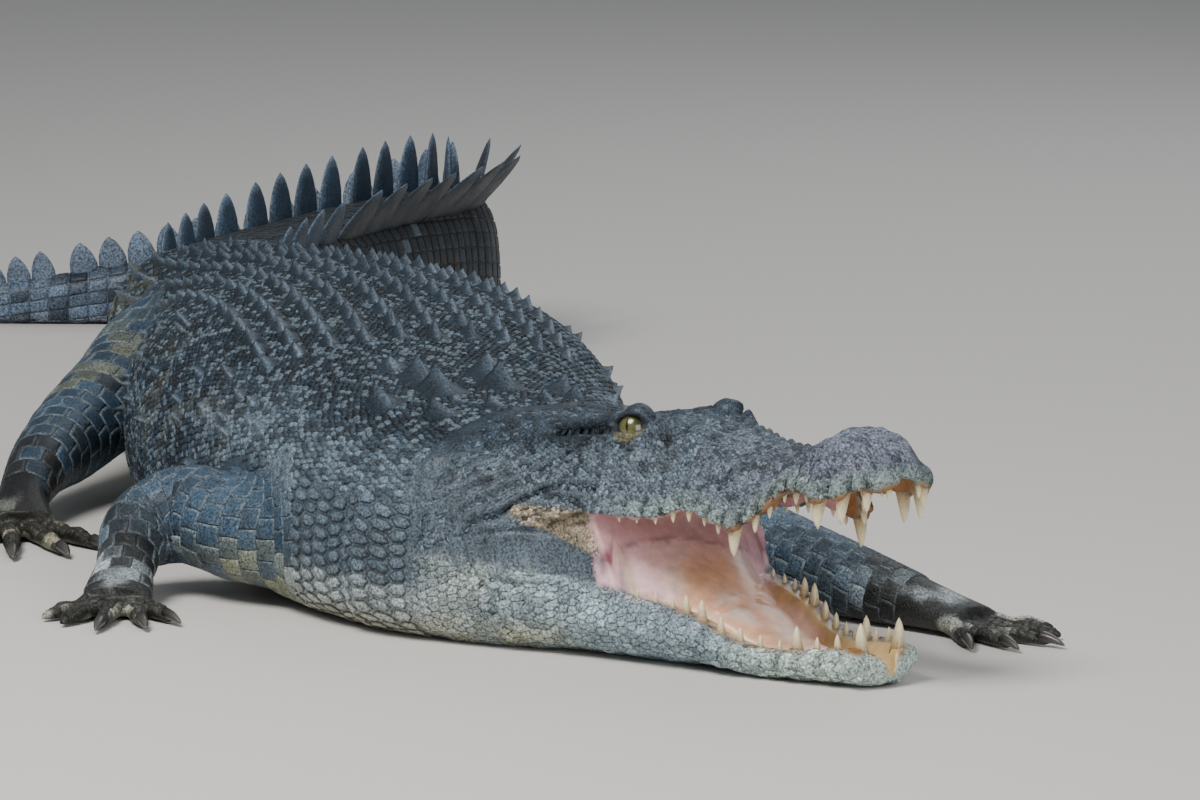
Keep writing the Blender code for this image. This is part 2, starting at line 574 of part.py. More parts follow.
def build_head():
    """Upper jaw with the skull, lower jaw, the flesh of the mouth's corner, tongue and eyes."""
    ahead = [HEAD_BACK + CUT, *np.linspace(CRANIUM_START, CRANIUM[-1][0], CRANIUM_RINGS)]
    head = finish("head_upper", loft([cranium_ring(a) for a in ahead]), SLATE)
    boolean(head, tool("upper_teeth_tool", upper_teeth()), "UNION")
    jaw_ahead = [HEAD_BACK + CUT, *np.linspace(MANDIBLE_START, MANDIBLE[-1][0], MANDIBLE_RINGS)]
    jaw = finish("lower_jaw", loft([mandible_ring(a) for a in jaw_ahead]), PALE_SLATE)
    boolean(jaw, tool("lower_teeth_tool", lower_teeth()), "UNION")
    ahead = np.linspace(*CORNER_SPAN, CORNER_RINGS)
    finish("mouth_corner", loft([corner_ring(a) for a in ahead]), PINK)
    ahead = [a for a in jaw_ahead if TONGUE_SPAN[0] < a < TONGUE_SPAN[1]]
    finish("tongue", loft([tongue_ring(a) for a in ahead]), TAN)
    for name, side in (("eye_left", 1), ("eye_right", -1)):
        place = head_point(EYE_PLACE.x, side * EYE_PLACE.y, EYE_PLACE.z, CRANIUM_PITCH)
        work = bmesh.new()
        bmesh.ops.create_uvsphere(work, u_segments=EYE_SIDES, v_segments=EYE_SIDES // 2, radius=EYE_RADIUS)
        eye = finish(name, work, YELLOW_GREEN, EYE_GLOSS)
        eye.location = place
        work = bmesh.new()
        bmesh.ops.create_uvsphere(work, u_segments=EYE_SIDES, v_segments=EYE_SIDES // 2,
                                  radius=EYE_RADIUS + SLACK)
        socket = tool(name + "_socket_tool", work)
        socket.location = place
        boolean(head, socket, "DIFFERENCE")


# ---------------------------------------------------------------- limbs
def limb_rings(points, sections, near, far, count):
    """Rings round a stretch of a limb's centre line, laid on the floor where they would dip below it."""
    path = measured(points)
    length = path[-1, 0]
    sizes = np.column_stack([path[:, 0], sections])
    rings = []
    for s in np.linspace(near * length, far * length, count):
        centre = Vector(smooth(path, [s])[0])
        ahead = Vector((smooth(path, [s + STEP]) - smooth(path, [s - STEP]))[0]).normalized()
        side = ahead.cross(Vector((0, 0, 1))).normalized()
        up = side.cross(ahead)
        half, height = smooth(sizes, [s])[0]
        ring = []
        for angle in np.linspace(0, math.tau, LIMB_SIDES, endpoint=False):
            corner = centre + side * half * math.cos(angle) + up * height * math.sin(angle)
            corner.z = max(corner.z, LIMB_LIFT)
            ring.append(corner)
        rings.append((ring, ahead))
    rings[0] = ([c + rings[0][1] * CUT / 2 for c in rings[0][0]], None)
    rings[-1] = ([c - rings[-1][1] * CUT / 2 for c in rings[-1][0]], None)
    return [ring for ring, _ in rings]


def toe(work, root, heading, length, radius, clawed):
    """One toe along the floor, from inside the palm to its tip, with a claw if it has one."""
    way = Vector((math.cos(heading), math.sin(heading), 0))
    side = Vector((-way.y, way.x, 0))
    rings = []
    for share, wide, tall in TOE_SHAPE:
        centre = root + way * length * share
        ring = []
        for angle in np.linspace(0, math.tau, TOE_SIDES, endpoint=False):
            height = max(radius * tall * (1 + TOE_SOLE * math.sin(angle)), 0)
            ring.append(centre + side * radius * wide * math.cos(angle) + Vector((0, 0, height)))
        rings.append(ring)
    loft(rings, work)
    if clawed:
        foot = root + way * (length - CLAW_LENGTH * CLAW_SUNK) + Vector((0, 0, radius * CLAW_HEIGHTS[0]))
        point = root + way * (length + CLAW_LENGTH * CLAW_OUT) + Vector((0, 0, radius * CLAW_HEIGHTS[1]))
        cone(work, foot, point, radius * CLAW_STOUT)


def hand_tool(points, kind, heading, inner_side):
    """The toes of one hand or foot, side by side across its knuckles and spread like a fan."""
    work = bmesh.new()
    knuckle = Vector((*points[-1][:2], 0))
    palm_side = Vector((-math.sin(heading), math.cos(heading), 0))
    lengths = TOE_LENGTHS[kind]
    for i, length in enumerate(lengths):
        share = inner_side * (0.5 - i / (len(lengths) - 1))
        turn = TOE_SPREAD[kind] * share
        way = Vector((math.cos(heading + turn), math.sin(heading + turn), 0))
        root = knuckle + palm_side * PALM_WIDTH[kind] * share - way * TOE_ROOT
        toe(work, root, heading + turn, length + TOE_ROOT, TOE_RADIUS[kind], i < CLAWED_TOES)
    return work


def build_limbs():
    """Two arms and two legs, each in three pieces; the uppermost is carved to the trunk's side."""
    around = np.linspace(0, math.tau, SPINE_SIDES, endpoint=False)
    stations = sorted({float(s) for _, start, end, count in SPINE_PIECES[:4]
                       for s in np.linspace(start, end, count).round(6)})
    rings = [spine_section(s, around, SLACK) for s in stations]
    trunk_tool = tool("trunk_tool", loft(rings))
    for limb, (points, sections, starts, toe_heading, inner_side) in LIMBS.items():
        kind = limb.split("_")[0]
        cuts = (*starts, 1.0)
        for index, part in enumerate(PIECE_NAMES[kind]):
            rings = limb_rings(points, sections, cuts[index], cuts[index + 1], LIMB_RINGS[index])
            piece = finish(f"{limb}_{part}", loft(rings), SLATE)
            if index == 0:
                boolean(piece, trunk_tool, "DIFFERENCE")
            if index == 2:
                heading = math.radians(toe_heading)
                toes = hand_tool(points, kind, heading, inner_side)
                boolean(piece, tool(limb + "_toes_tool", toes), "UNION")
                piece.modifiers[-1].use_self = True


def main():
    """Clears the scene, then builds the crocodile."""
    for item in list(bpy.data.objects):
        bpy.data.objects.remove(item, do_unlink=True)
    for name in (BODY_COLLECTION, CUTTER_COLLECTION):
        bpy.context.scene.collection.children.link(bpy.data.collections.new(name))
    bpy.data.collections[CUTTER_COLLECTION].hide_render = True
    build_spine()
    build_head()
    build_limbs()


main()
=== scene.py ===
# %% [markdown]
# # A saltwater crocodile, life size
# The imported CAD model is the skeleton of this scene: it gives every place and size. Over it go one skin,
# then a coat of scales, then the eyes, teeth, claws and the crest of the tail. Each step below says what
# the thing is on the real animal and how it is made here.

# %% Load the CAD frame
import math

import bpy
import numpy as np
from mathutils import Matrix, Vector


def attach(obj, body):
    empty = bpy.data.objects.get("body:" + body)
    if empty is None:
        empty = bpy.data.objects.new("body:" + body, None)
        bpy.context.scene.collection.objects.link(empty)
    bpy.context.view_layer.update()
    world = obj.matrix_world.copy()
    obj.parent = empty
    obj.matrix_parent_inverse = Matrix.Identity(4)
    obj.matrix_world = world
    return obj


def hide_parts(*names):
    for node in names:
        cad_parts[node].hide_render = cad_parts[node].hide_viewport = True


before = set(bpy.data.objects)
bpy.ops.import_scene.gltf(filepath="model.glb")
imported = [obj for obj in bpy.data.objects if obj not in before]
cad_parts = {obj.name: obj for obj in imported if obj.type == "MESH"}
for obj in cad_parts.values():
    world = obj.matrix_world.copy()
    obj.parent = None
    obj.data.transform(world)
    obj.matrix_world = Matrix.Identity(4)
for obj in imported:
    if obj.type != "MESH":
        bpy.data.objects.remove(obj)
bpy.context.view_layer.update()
SEED = 20

# %% [markdown]
# ## The body as curves
# A crocodile is close to a tube whose section changes slowly. The tables below repeat the sections of the
# CAD model: a row is a place along the body and the sizes of the section there. Cubic pieces through the
# rows make a smooth surface, which can be asked for a point at any distance along and angle around.

# %% Tables of sections, in metres
JAW_JOINT = np.array([0.304, -0.754, 0.112])
HEAD_HEADING, HEAD_ROLL, CRANIUM_PITCH = math.radians(-48), math.radians(3), math.radians(13)
HEAD_BACK, BEND_LENGTH, NAPE_STRETCH = -0.030, 0.15, 0.035
FORWARD = np.array([math.cos(HEAD_HEADING), math.sin(HEAD_HEADING), 0])
LATERAL = np.array([-math.sin(HEAD_HEADING), math.cos(HEAD_HEADING), 0])
SPINE_PATH = [
    (0.224, -0.652), (0.188, -0.572), (0.158, -0.470), (0.130, -0.340), (0.102, -0.200),
    (0.070, -0.060), (0.032, 0.080), (-0.012, 0.230), (-0.060, 0.380), (-0.115, 0.515),
    (-0.160, 0.655), (-0.130, 0.870), (-0.055, 1.100), (0.030, 1.320), (0.100, 1.500),
    (0.142, 1.620), (0.142, 1.730), (0.085, 1.815), (-0.020, 1.860), (-0.150, 1.880),
    (-0.290, 1.885), (-0.440, 1.885), (-0.580, 1.890), (-0.700, 1.900), (-0.810, 1.915),
]
# Distance along the spine, half width, height of the back, height of the widest place, squareness.
BODY = [
    (0.00, 0.212, 0.258, 0.082, 0.80), (0.10, 0.234, 0.264, 0.082, 0.80), (0.22, 0.256, 0.270, 0.088, 0.80),
    (0.40, 0.272, 0.286, 0.102, 0.80), (0.62, 0.296, 0.312, 0.120, 0.82), (0.80, 0.302, 0.320, 0.128, 0.82),
    (0.95, 0.280, 0.318, 0.130, 0.82), (1.12, 0.218, 0.308, 0.128, 0.82), (1.30, 0.172, 0.290, 0.122, 0.78),
    (1.52, 0.148, 0.268, 0.115, 0.72), (1.85, 0.110, 0.255, 0.110, 0.64), (2.20, 0.084, 0.248, 0.104, 0.64),
    (2.48, 0.064, 0.232, 0.098, 0.75), (2.70, 0.050, 0.190, 0.080, 0.90), (3.00, 0.034, 0.118, 0.052, 1.00),
    (3.30, 0.021, 0.062, 0.030, 1.00), (3.48, 0.012, 0.036, 0.018, 1.00), (3.60, 0.005, 0.018, 0.009, 1.00),
]
BELLY_SINK = 0.020
# Distance ahead of the jaw's joint, half width at the lip, lip, half width of the top, top, palate.
CRANIUM = [
    (0.000, 0.196, 0.004, 0.085, 0.142, 0.012), (0.060, 0.182, 0.004, 0.080, 0.136, 0.016),
    (0.130, 0.160, 0.008, 0.078, 0.130, 0.022), (0.200, 0.143, 0.010, 0.074, 0.127, 0.024),
    (0.250, 0.134, 0.002, 0.064, 0.121, 0.020), (0.300, 0.122, -0.006, 0.050, 0.100, 0.014),
    (0.350, 0.112, -0.004, 0.044, 0.078, 0.012), (0.390, 0.110, -0.021, 0.044, 0.062, 0.004),
    (0.424, 0.106, -0.032, 0.042, 0.055, -0.002), (0.450, 0.090, -0.020, 0.040, 0.052, 0.002),
    (0.476, 0.068, 0.002, 0.036, 0.052, 0.012), (0.506, 0.068, -0.002, 0.036, 0.056, 0.010),
    (0.536, 0.074, -0.012, 0.040, 0.062, 0.006), (0.568, 0.069, -0.014, 0.038, 0.056, 0.002),
    (0.592, 0.054, -0.008, 0.028, 0.043, 0.002), (0.608, 0.034, -0.012, 0.016, 0.027, 0.000),
    (0.617, 0.014, -0.006, 0.008, 0.014, 0.000),
]
LIP_WIDTH = 0.020
# Distance ahead, half width, rim above the floor, half width of the keel, keel, thickness of an arm.
MANDIBLE = [
    (0.000, 0.204, 0.106, 0.165, 0.000, 0.080), (0.080, 0.180, 0.100, 0.136, 0.000, 0.062),
    (0.160, 0.150, 0.093, 0.100, 0.000, 0.044), (0.240, 0.130, 0.082, 0.082, 0.002, 0.036),
    (0.310, 0.114, 0.071, 0.070, 0.004, 0.034), (0.345, 0.106, 0.062, 0.062, 0.004, 0.034),
    (0.380, 0.098, 0.046, 0.056, 0.002, 0.034), (0.420, 0.087, 0.037, 0.048, 0.000, 0.034),
    (0.470, 0.071, 0.036, 0.040, 0.000, 0.034), (0.510, 0.061, 0.041, 0.034, 0.000, 0.034),
    (0.535, 0.055, 0.044, 0.030, 0.000, 0.032), (0.555, 0.045, 0.043, 0.024, 0.000, 0.028),
    (0.570, 0.028, 0.037, 0.014, 0.003, 0.018), (0.576, 0.012, 0.030, 0.006, 0.008, 0.008),
]
JAW_FLOOR_DROP = 0.024
ARM = [(0.072, 0.082), (0.066, 0.070), (0.060, 0.064), (0.056, 0.062), (0.048, 0.052), (0.038, 0.034),
       (0.046, 0.020)]
LEG = [(0.100, 0.095), (0.088, 0.085), (0.066, 0.068), (0.056, 0.056), (0.042, 0.042), (0.036, 0.028),
       (0.050, 0.020)]
# Each limb: its centre line, sections, which way the toes point, and the side of the inner toe.
LIMBS = {
    "arm_right": ([(0.110, -0.625, 0.086), (0.010, -0.612, 0.082), (-0.085, -0.568, 0.086),
                   (-0.165, -0.505, 0.096), (-0.212, -0.520, 0.080), (-0.228, -0.590, 0.046),
                   (-0.236, -0.680, 0.020)], ARM, -98, 1),
    "arm_left": ([(0.260, -0.400, 0.150), (0.370, -0.460, 0.140), (0.480, -0.545, 0.096),
                  (0.560, -0.610, 0.062), (0.650, -0.690, 0.042), (0.745, -0.780, 0.026),
                  (0.800, -0.830, 0.018)], ARM, -42, -1),
    "leg_right": ([(-0.140, 0.540, 0.140), (-0.215, 0.460, 0.155), (-0.285, 0.320, 0.120),
                   (-0.340, 0.170, 0.085), (-0.370, 0.060, 0.066), (-0.385, -0.030, 0.040),
                   (-0.385, -0.100, 0.020)], LEG, -78, 1),
    "leg_left": ([(-0.100, 0.520, 0.140), (0.010, 0.495, 0.140), (0.118, 0.455, 0.115),
                  (0.205, 0.440, 0.085), (0.268, 0.510, 0.055), (0.290, 0.610, 0.030),
                  (0.296, 0.680, 0.020)], LEG, 80, 1),
}
TOE_LENGTHS = {"arm": (0.070, 0.100, 0.115, 0.100, 0.075), "leg": (0.120, 0.150, 0.155, 0.125)}
TOE_SPREAD = {"arm": math.radians(78), "leg": math.radians(46)}
TOE_RADIUS = {"arm": 0.013, "leg": 0.014}
PALM_WIDTH = {"arm": 0.068, "leg": 0.074}
TOE_ROOT, CLAW_LENGTH, CLAWED_TOES, LIMB_LIFT = 0.025, 0.030, 3, 0.003


# %% Curves and surfaces from the tables
def ring_grid(rows, count):
    """The given values down the rows, and a full turn in equal steps along the columns."""
    return np.meshgrid(rows, np.linspace(0, math.tau, count, endpoint=False), indexing="ij")


def smooth(table, at):
    """The rows of a table at new places, by cubic pieces through its rows, which start with the place."""
    rows = np.array(table, float)
    place, value = rows[:, 0], rows[:, 1:]
    slope = np.gradient(value, place, axis=0)
    at = np.clip(np.asarray(at, float), place[0], place[-1])
    low = np.clip(np.searchsorted(place, at, side="right") - 1, 0, len(place) - 2)
    gap = (place[low + 1] - place[low])[..., None]
    t = (at - place[low])[..., None] / gap
    return ((2 * t**3 - 3 * t**2 + 1) * value[low] + (t**3 - 2 * t**2 + t) * gap * slope[low]
            + (3 * t**2 - 2 * t**3) * value[low + 1] + (t**3 - t**2) * gap * slope[low + 1])


def step(value, low, high):
    """0 below low, 1 above high, and smooth between."""
    t = np.clip((value - low) / (high - low), 0, 1)
    return t * t * (3 - 2 * t)


def measured(points):
    """The points of a path, each with its distance along the path in front of it."""
    points = np.array(points, float)
    steps = np.linalg.norm(np.diff(points, axis=0), axis=1)
    return np.column_stack([np.concatenate([[0], np.cumsum(steps)]), points])


SKULL = JAW_JOINT + FORWARD * HEAD_BACK
SPINE = measured([SKULL[:2], (SKULL - FORWARD * NAPE_STRETCH)[:2], *SPINE_PATH])
SPINE_LENGTH = BODY[-1][0]


def spine_point(s, around, lift=0.0):
    """A point of the trunk's surface: s along the spine, around 0 on the left and 90 degrees on top."""
    half, top, widest, square = np.moveaxis(smooth(BODY, s), -1, 0)
    ahead = smooth(SPINE, s + 0.004) - smooth(SPINE, s - 0.004)
    ahead /= np.linalg.norm(ahead, axis=-1)[..., None]
    cosine, sine = np.cos(around), np.sin(around)
    across = (half + lift) * np.sign(cosine) * np.abs(cosine)**square
    up = widest + (top + lift - widest) * np.abs(sine)**square
    down = np.maximum(widest - (widest + lift + BELLY_SINK) * np.abs(sine)**0.55, -lift)
    flat = smooth(SPINE, s) + across[..., None] * np.stack([ahead[..., 1], -ahead[..., 0]], -1)
    return np.concatenate([flat, np.where(sine >= 0, up, down)[..., None]], -1)


def head_point(ahead, left, up, pitch=CRANIUM_PITCH, bend=None):
    """A point of the head's own frame, in the world; bend is how far a section leans with the jaw."""
    bend = np.clip((ahead - HEAD_BACK) / BEND_LENGTH, 0, 1) if bend is None else bend
    roll, lean = HEAD_ROLL * bend, pitch * bend
    across = left * np.cos(roll) + up * np.sin(roll)
    raised = up * np.cos(roll) - left * np.sin(roll)
    run = ahead * np.cos(pitch) - raised * np.sin(lean)
    rise = ahead * np.sin(pitch) + raised * np.cos(lean)
    return JAW_JOINT + FORWARD * run[..., None] + LATERAL * across[..., None] + np.stack(
        [rise * 0, rise * 0, rise], -1)


def jaw_point(ahead, left, up):
    """A point of the lower jaw, which isn't lifted: ahead and left on the head's heading, up from z = 0."""
    flat = JAW_JOINT * (1, 1, 0) + FORWARD * np.asarray(ahead)[..., None]
    return flat + LATERAL * np.asarray(left)[..., None] + np.stack([up * 0, up * 0, up], -1)


def head_frame(points):
    """World points in the upper jaw's frame: ahead of the joint, left of the middle, up from the lip."""
    offset = points - JAW_JOINT
    run, across, rise = offset @ FORWARD, offset @ LATERAL, offset[..., 2]
    ahead = run * math.cos(CRANIUM_PITCH) + rise * math.sin(CRANIUM_PITCH)
    raised = rise * math.cos(CRANIUM_PITCH) - run * math.sin(CRANIUM_PITCH)
    return np.stack([ahead, across * math.cos(HEAD_ROLL) - raised * math.sin(HEAD_ROLL),
                     raised * math.cos(HEAD_ROLL) + across * math.sin(HEAD_ROLL)], -1)


def jaw_frame(points):
    """World points in the lower jaw's frame: ahead of the joint, left of the middle, up from the floor."""
    offset = points - JAW_JOINT
    return np.stack([offset @ FORWARD, offset @ LATERAL, points[..., 2]], -1)


def tube(points, sections):
    """A limb's surface as a function of the distance along it and the angle around it, and its length."""
    path = measured(points)
    sizes = np.column_stack([path[:, 0], sections])

    def surface(along, around, lift=0.0):
        centre = smooth(path, along)
        ahead = smooth(path, along + 0.003) - smooth(path, along - 0.003)
        ahead /= np.linalg.norm(ahead, axis=-1)[..., None]
        side = np.cross(ahead, [0, 0, 1])
        side /= np.linalg.norm(side, axis=-1)[..., None]
        up = np.cross(side, ahead)
        half, height = np.moveaxis(smooth(sizes, along), -1, 0) + lift
        place = centre + side * (half * np.cos(around))[..., None] + up * (height * np.sin(around))[..., None]
        place[..., 2] = np.maximum(place[..., 2], LIMB_LIFT - lift)
        return place

    return surface, path[-1, 0]


print("spine length", SPINE[-1, 0].round(3), "table ends at", SPINE_LENGTH)

# %% [markdown]
# ## Meshes from whole arrays
# Every surface is computed as a numpy array of points and turned into a mesh in one go. A grid of points
# round a closed section, filled at both ends, is a solid that can be merged with others.

# %% Make a mesh from a grid of points
def make_piece(name, points, faces, material=None, flat=False):
    """An object in the scene from an array of points and an array or list of faces."""
    mesh = bpy.data.meshes.new(name)
    mesh.from_pydata(np.asarray(points).tolist(), [], [tuple(face) for face in np.asarray(faces).tolist()]
                     if isinstance(faces, np.ndarray) else faces)
    mesh.polygons.foreach_set("use_smooth", np.full(len(mesh.polygons), not flat))
    if material:
        mesh.materials.append(material)
    piece = bpy.data.objects.new(name, mesh)
    bpy.context.scene.collection.objects.link(piece)
    return piece


def tube_faces(rows, columns, start=0):
    """The four-sided faces of a grid whose columns close round, with its two ends filled."""
    i, j = np.meshgrid(np.arange(rows - 1), np.arange(columns), indexing="ij")
    k = (j + 1) % columns
    quads = np.stack([i * columns + j, i * columns + k, (i + 1) * columns + k, (i + 1) * columns + j], -1)
    ends = [list(range(columns))[::-1], list(range((rows - 1) * columns, rows * columns))]
    return [[v + start for v in face] for face in quads.reshape(-1, 4).tolist() + ends]


def solid(grids):
    """Points and faces of several closed tubes, each an array of rows by columns by three."""
    points, faces, start = [], [], 0
    for grid in grids:
        rows, columns = grid.shape[:2]
        points.append(grid.reshape(-1, 3))
        faces += tube_faces(rows, columns, start)
        start += rows * columns
    return np.concatenate(points), faces


def evaluated(piece):
    """A new mesh of the piece with its modifiers applied."""
    graph = bpy.context.evaluated_depsgraph_get()
    return bpy.data.meshes.new_from_object(piece.evaluated_get(graph))


def points_of(mesh, what="co"):
    """The places or normals of a mesh's vertices as one array."""
    values = np.empty(len(mesh.vertices) * 3)
    mesh.vertices.foreach_get(what, values)
    return values.reshape(-1, 3)


def merged(name, grids, voxel, rounds):
    """One surface round all the tubes, rebuilt in small even squares and smoothed."""
    piece = make_piece(name, *solid(grids))
    bpy.context.view_layer.update()
    remesh = piece.modifiers.new("merge", "REMESH")
    remesh.mode, remesh.voxel_size, remesh.adaptivity = "VOXEL", voxel, 0
    soften = piece.modifiers.new("soften", "SMOOTH")
    soften.factor, soften.iterations = 0.5, rounds
    mesh = evaluated(piece)
    bpy.data.objects.remove(piece)
    print(name, "merged into", len(mesh.polygons), "faces")
    return mesh


# %% [markdown]
# ## The skin
# The skin of the real animal is one hide from the snout to the toes. Tubes for the trunk, the head and the
# limbs are merged with a voxel remesh, which joins them with soft folds where a limb leaves the body. The
# head is rebuilt in 3 mm squares, because lids, lips and folds are small; the trunk needs only 10 mm.

# %% Tubes of the trunk and limbs
COAT = 0.0025  # the scales stand this high over the skin


def spine_grid(start, end, step=0.012, around=72):
    """Rows of points round the trunk from one place on the spine to another, under the coat."""
    s, angle = ring_grid(np.arange(start, end, step), around)
    return spine_point(s, angle, -COAT)


def toe_paths(limb):
    """For each toe of a limb: its root in the palm, its heading, length and radius."""
    points, _, heading, inner = LIMBS[limb]
    kind = limb.split("_")[0]
    palm = np.array([-math.sin(math.radians(heading)), math.cos(math.radians(heading)), 0])
    for i, length in enumerate(TOE_LENGTHS[kind]):
        share = inner * (0.5 - i / (len(TOE_LENGTHS[kind]) - 1))
        turn = math.radians(heading) + TOE_SPREAD[kind] * share
        way = np.array([math.cos(turn), math.sin(turn), 0])
        root = np.array([*points[-1][:2], 0]) + palm * PALM_WIDTH[kind] * share - way * TOE_ROOT
        yield i, root, way, length + TOE_ROOT, TOE_RADIUS[kind]


def toe_point(root, way, length, radius, share, around, lift=0.0):
    """A point of a toe: knuckled, thinner to its tip and flat below."""
    wide = np.interp(share, [0, 0.7, 0.93, 1], [0.95, 0.86, 0.62, 0.30]) * (1 + 0.07 * np.cos(share * 19))
    side = np.array([-way[1], way[0], 0])
    radius = radius * wide + lift
    height = np.maximum(radius * (0.95 + 1.05 * np.sin(around)), 0.0005 - lift)
    flat = root + way * (length * share)[..., None] + side * (radius * np.cos(around))[..., None]
    return flat + np.stack([height * 0, height * 0, height], -1)


TUBES = {limb: tube(points, sections) for limb, (points, sections, _, _) in LIMBS.items()}
body_grids, hand_grids = [spine_grid(0.05, 3.6)], []
for limb, (surface, length) in TUBES.items():
    along, around = ring_grid(np.linspace(0, length, 60), 36)
    grid = surface(along, around, -COAT)
    body_grids.append(grid[:56])
    hand_grids.append(grid[46:])
    for _, root, way, toe_length, radius in toe_paths(limb):
        share, turn = ring_grid(np.linspace(0, 1, 24), 16)
        hand_grids.append(toe_point(root, way, toe_length, radius, share, turn, -0.001))
body_mesh = merged("body", body_grids, 0.0100, 2)
hand_mesh = merged("hands", hand_grids, 0.0045, 3)


# %% Tubes of the head
def cranium_grid(ahead):
    """Sections of the upper jaw: over the top in an arch, and in past the lips along the palate."""
    half, lip, crown_half, crown, palate = [v[:, None] for v in smooth(CRANIUM, ahead).T]
    angle = np.linspace(0, math.pi, 61)[None]
    rise = np.abs(np.sin(angle))**0.75
    width = crown_half + (half - crown_half) * (1 - rise)**0.7
    across = width * np.sign(np.cos(angle)) * np.minimum(np.abs(np.cos(angle)) * 2.2, 1)
    inner = half - np.minimum(LIP_WIDTH, half * 0.4)
    mouth = np.linspace(-1, 1, 21)[None]
    roof = lip + (palate - lip) * np.clip((1 - np.abs(mouth)) / 0.18, 0, 1)**0.6
    across = np.concatenate([across, inner * mouth], 1)
    up = np.concatenate([lip + (crown - lip) * rise, roof], 1)
    place = np.repeat(ahead[:, None], across.shape[1], 1)
    return head_point(place, across, up)


def mandible_grid(ahead):
    """Sections of the lower jaw: a trough whose floor lies below its rims."""
    half, rim, keel_half, keel, arm = [v for v in smooth(MANDIBLE, ahead).T]
    keel = np.maximum(keel, 0.001)
    inner = np.maximum(half - arm, half * 0.3)
    floor = np.maximum(rim - JAW_FLOOR_DROP, keel + 0.012)
    right = [(inner * 0, floor), (inner * 0.4, floor), (inner * 0.8, floor + 0.001),
             (inner * 0.95, floor * 0.5 + rim * 0.5), (inner + 0.003, rim - 0.001),
             (half - 0.010, rim + 0.001), (half - 0.003, rim - 0.004),
             (half + 0.003, rim * 0.75 + keel * 0.25), (half + 0.004, rim * 0.5 + keel * 0.5),
             (half * 0.9 + keel_half * 0.1, keel + (rim - keel) * 0.3),
             (half * 0.72 + keel_half * 0.28, keel + (rim - keel) * 0.15), (keel_half, keel),
             (keel_half * 0.5, keel)]
    profile = [(-a, b) for a, b in right[1:]][::-1] + right[:1] + right[1:]
    across, up = [np.stack(v, 1) for v in zip(*profile)]
    return jaw_point(np.repeat(ahead[:, None], across.shape[1], 1), across, up)


def corner_grid(ahead):
    """The flesh between the jaws, from the palate down into the lower jaw."""
    half, lip = smooth(CRANIUM, ahead).T[:2]
    low, rim = smooth(MANDIBLE, ahead).T[:2]
    open_share = step(ahead, 0.07, 0.15)
    wide = (np.minimum(half, low) - 0.010) * open_share + (np.maximum(half, low) + 0.002) * (1 - open_share)
    turn = np.linspace(-1, 1, 15)[None]
    place = np.repeat(ahead[:, None], 15, 1)
    upper = head_point(place, wide[:, None] * turn, lip[:, None] + 0.010 + 0 * turn)
    lower = jaw_point(place * 1.2, -wide[:, None] * turn, rim[:, None] - 0.010 + 0 * turn)
    return np.concatenate([upper, lower], 1)


def throat_grid():
    """The soft floor at the back of the mouth, which rises from the tongue to the palate."""
    share = np.linspace(0, 1, 24)[:, None]
    turn = np.linspace(-1, 1, 25)[None]
    lower = 0.345 - 0.12 * np.abs(turn)**3
    ahead = 0.19 + (lower - 0.19) * share**1.15
    half = np.minimum(smooth(CRANIUM, ahead)[..., 0] - 0.016, smooth(MANDIBLE, ahead)[..., 0] - 0.022)
    high = jaw_frame(head_point(ahead, half * turn, ahead * 0 + 0.020))[..., 2]
    rim = smooth(MANDIBLE, ahead)[..., 1]
    low = rim - 0.020 + 0.012 * (1 - turn**2)
    up = low + (high - low) * (1 - share)**1.3 * (1 - 0.25 * (1 - turn**2) * np.sin(math.pi * share))
    front = jaw_point(ahead, half * turn, up)
    behind = front - FORWARD * 0.10 - np.array([0, 0, 0.02])
    return np.concatenate([front, behind[:, ::-1]], 1)


def jowl_grid():
    """The swell of muscle where the jaws pass into the neck: it bridges the step between their sections."""
    share = np.linspace(0, 1, 26)
    turn = np.linspace(0, math.tau, 96, endpoint=False)
    rows = np.array([(0.0, 0.120, 0.142, 0.232, 0.085), (0.3, 0.060, 0.186, 0.252, 0.085),
                     (0.6, -0.020, 0.214, 0.262, 0.083), (1.0, -0.140, 0.240, 0.262, 0.082)])
    ahead, half, top, widest = smooth(rows, share).T[:, :, None]
    cosine, sine = np.cos(turn), np.sin(turn)
    across = half * np.sign(cosine) * np.abs(cosine)**0.8
    up = np.where(sine > 0, widest + (top - widest) * np.abs(sine)**0.8,
                  np.maximum(widest * (1 - np.abs(sine)**0.55 * 1.2), 0.002))
    centre = smooth(SPINE, np.maximum(-ahead[:, 0] - 0.03, 0)) * (ahead < -0.03) + jaw_point(
        ahead[:, 0], ahead[:, 0] * 0, ahead[:, 0] * 0)[:, :2] * (ahead >= -0.03)
    flat = centre[:, None] + LATERAL[:2] * across[..., None]
    return np.concatenate([flat, up[..., None]], -1)


ahead = np.concatenate([[-0.045], np.arange(-0.02, 0.617, 0.005), [0.617]])
jaw_ahead = np.concatenate([[-0.045], np.arange(-0.02, 0.576, 0.005), [0.576]])
head_grids = [cranium_grid(ahead), mandible_grid(jaw_ahead), corner_grid(np.linspace(-0.03, 0.203, 40)),
              spine_grid(0.0, 0.13, 0.005, 120), throat_grid(), jowl_grid()]
EYE_PLACE, EYE_RADIUS = (0.236, 0.074, 0.104), 0.020


def eye_frame(side):
    """The middle of an eyeball and the ways out of, along and up its opening; side is 1 on the left."""
    middle = head_point(np.array(EYE_PLACE[0]), np.array(side * EYE_PLACE[1]), np.array(EYE_PLACE[2]))
    out = LATERAL * side * 0.88 + FORWARD * 0.30 + np.array([0, 0, 0.30])
    out /= np.linalg.norm(out)
    along = FORWARD * 0.96 + np.array([0, 0, 0.26])
    along -= out * (along @ out)
    along /= np.linalg.norm(along)
    return middle, out, along, np.cross(out, along) * side


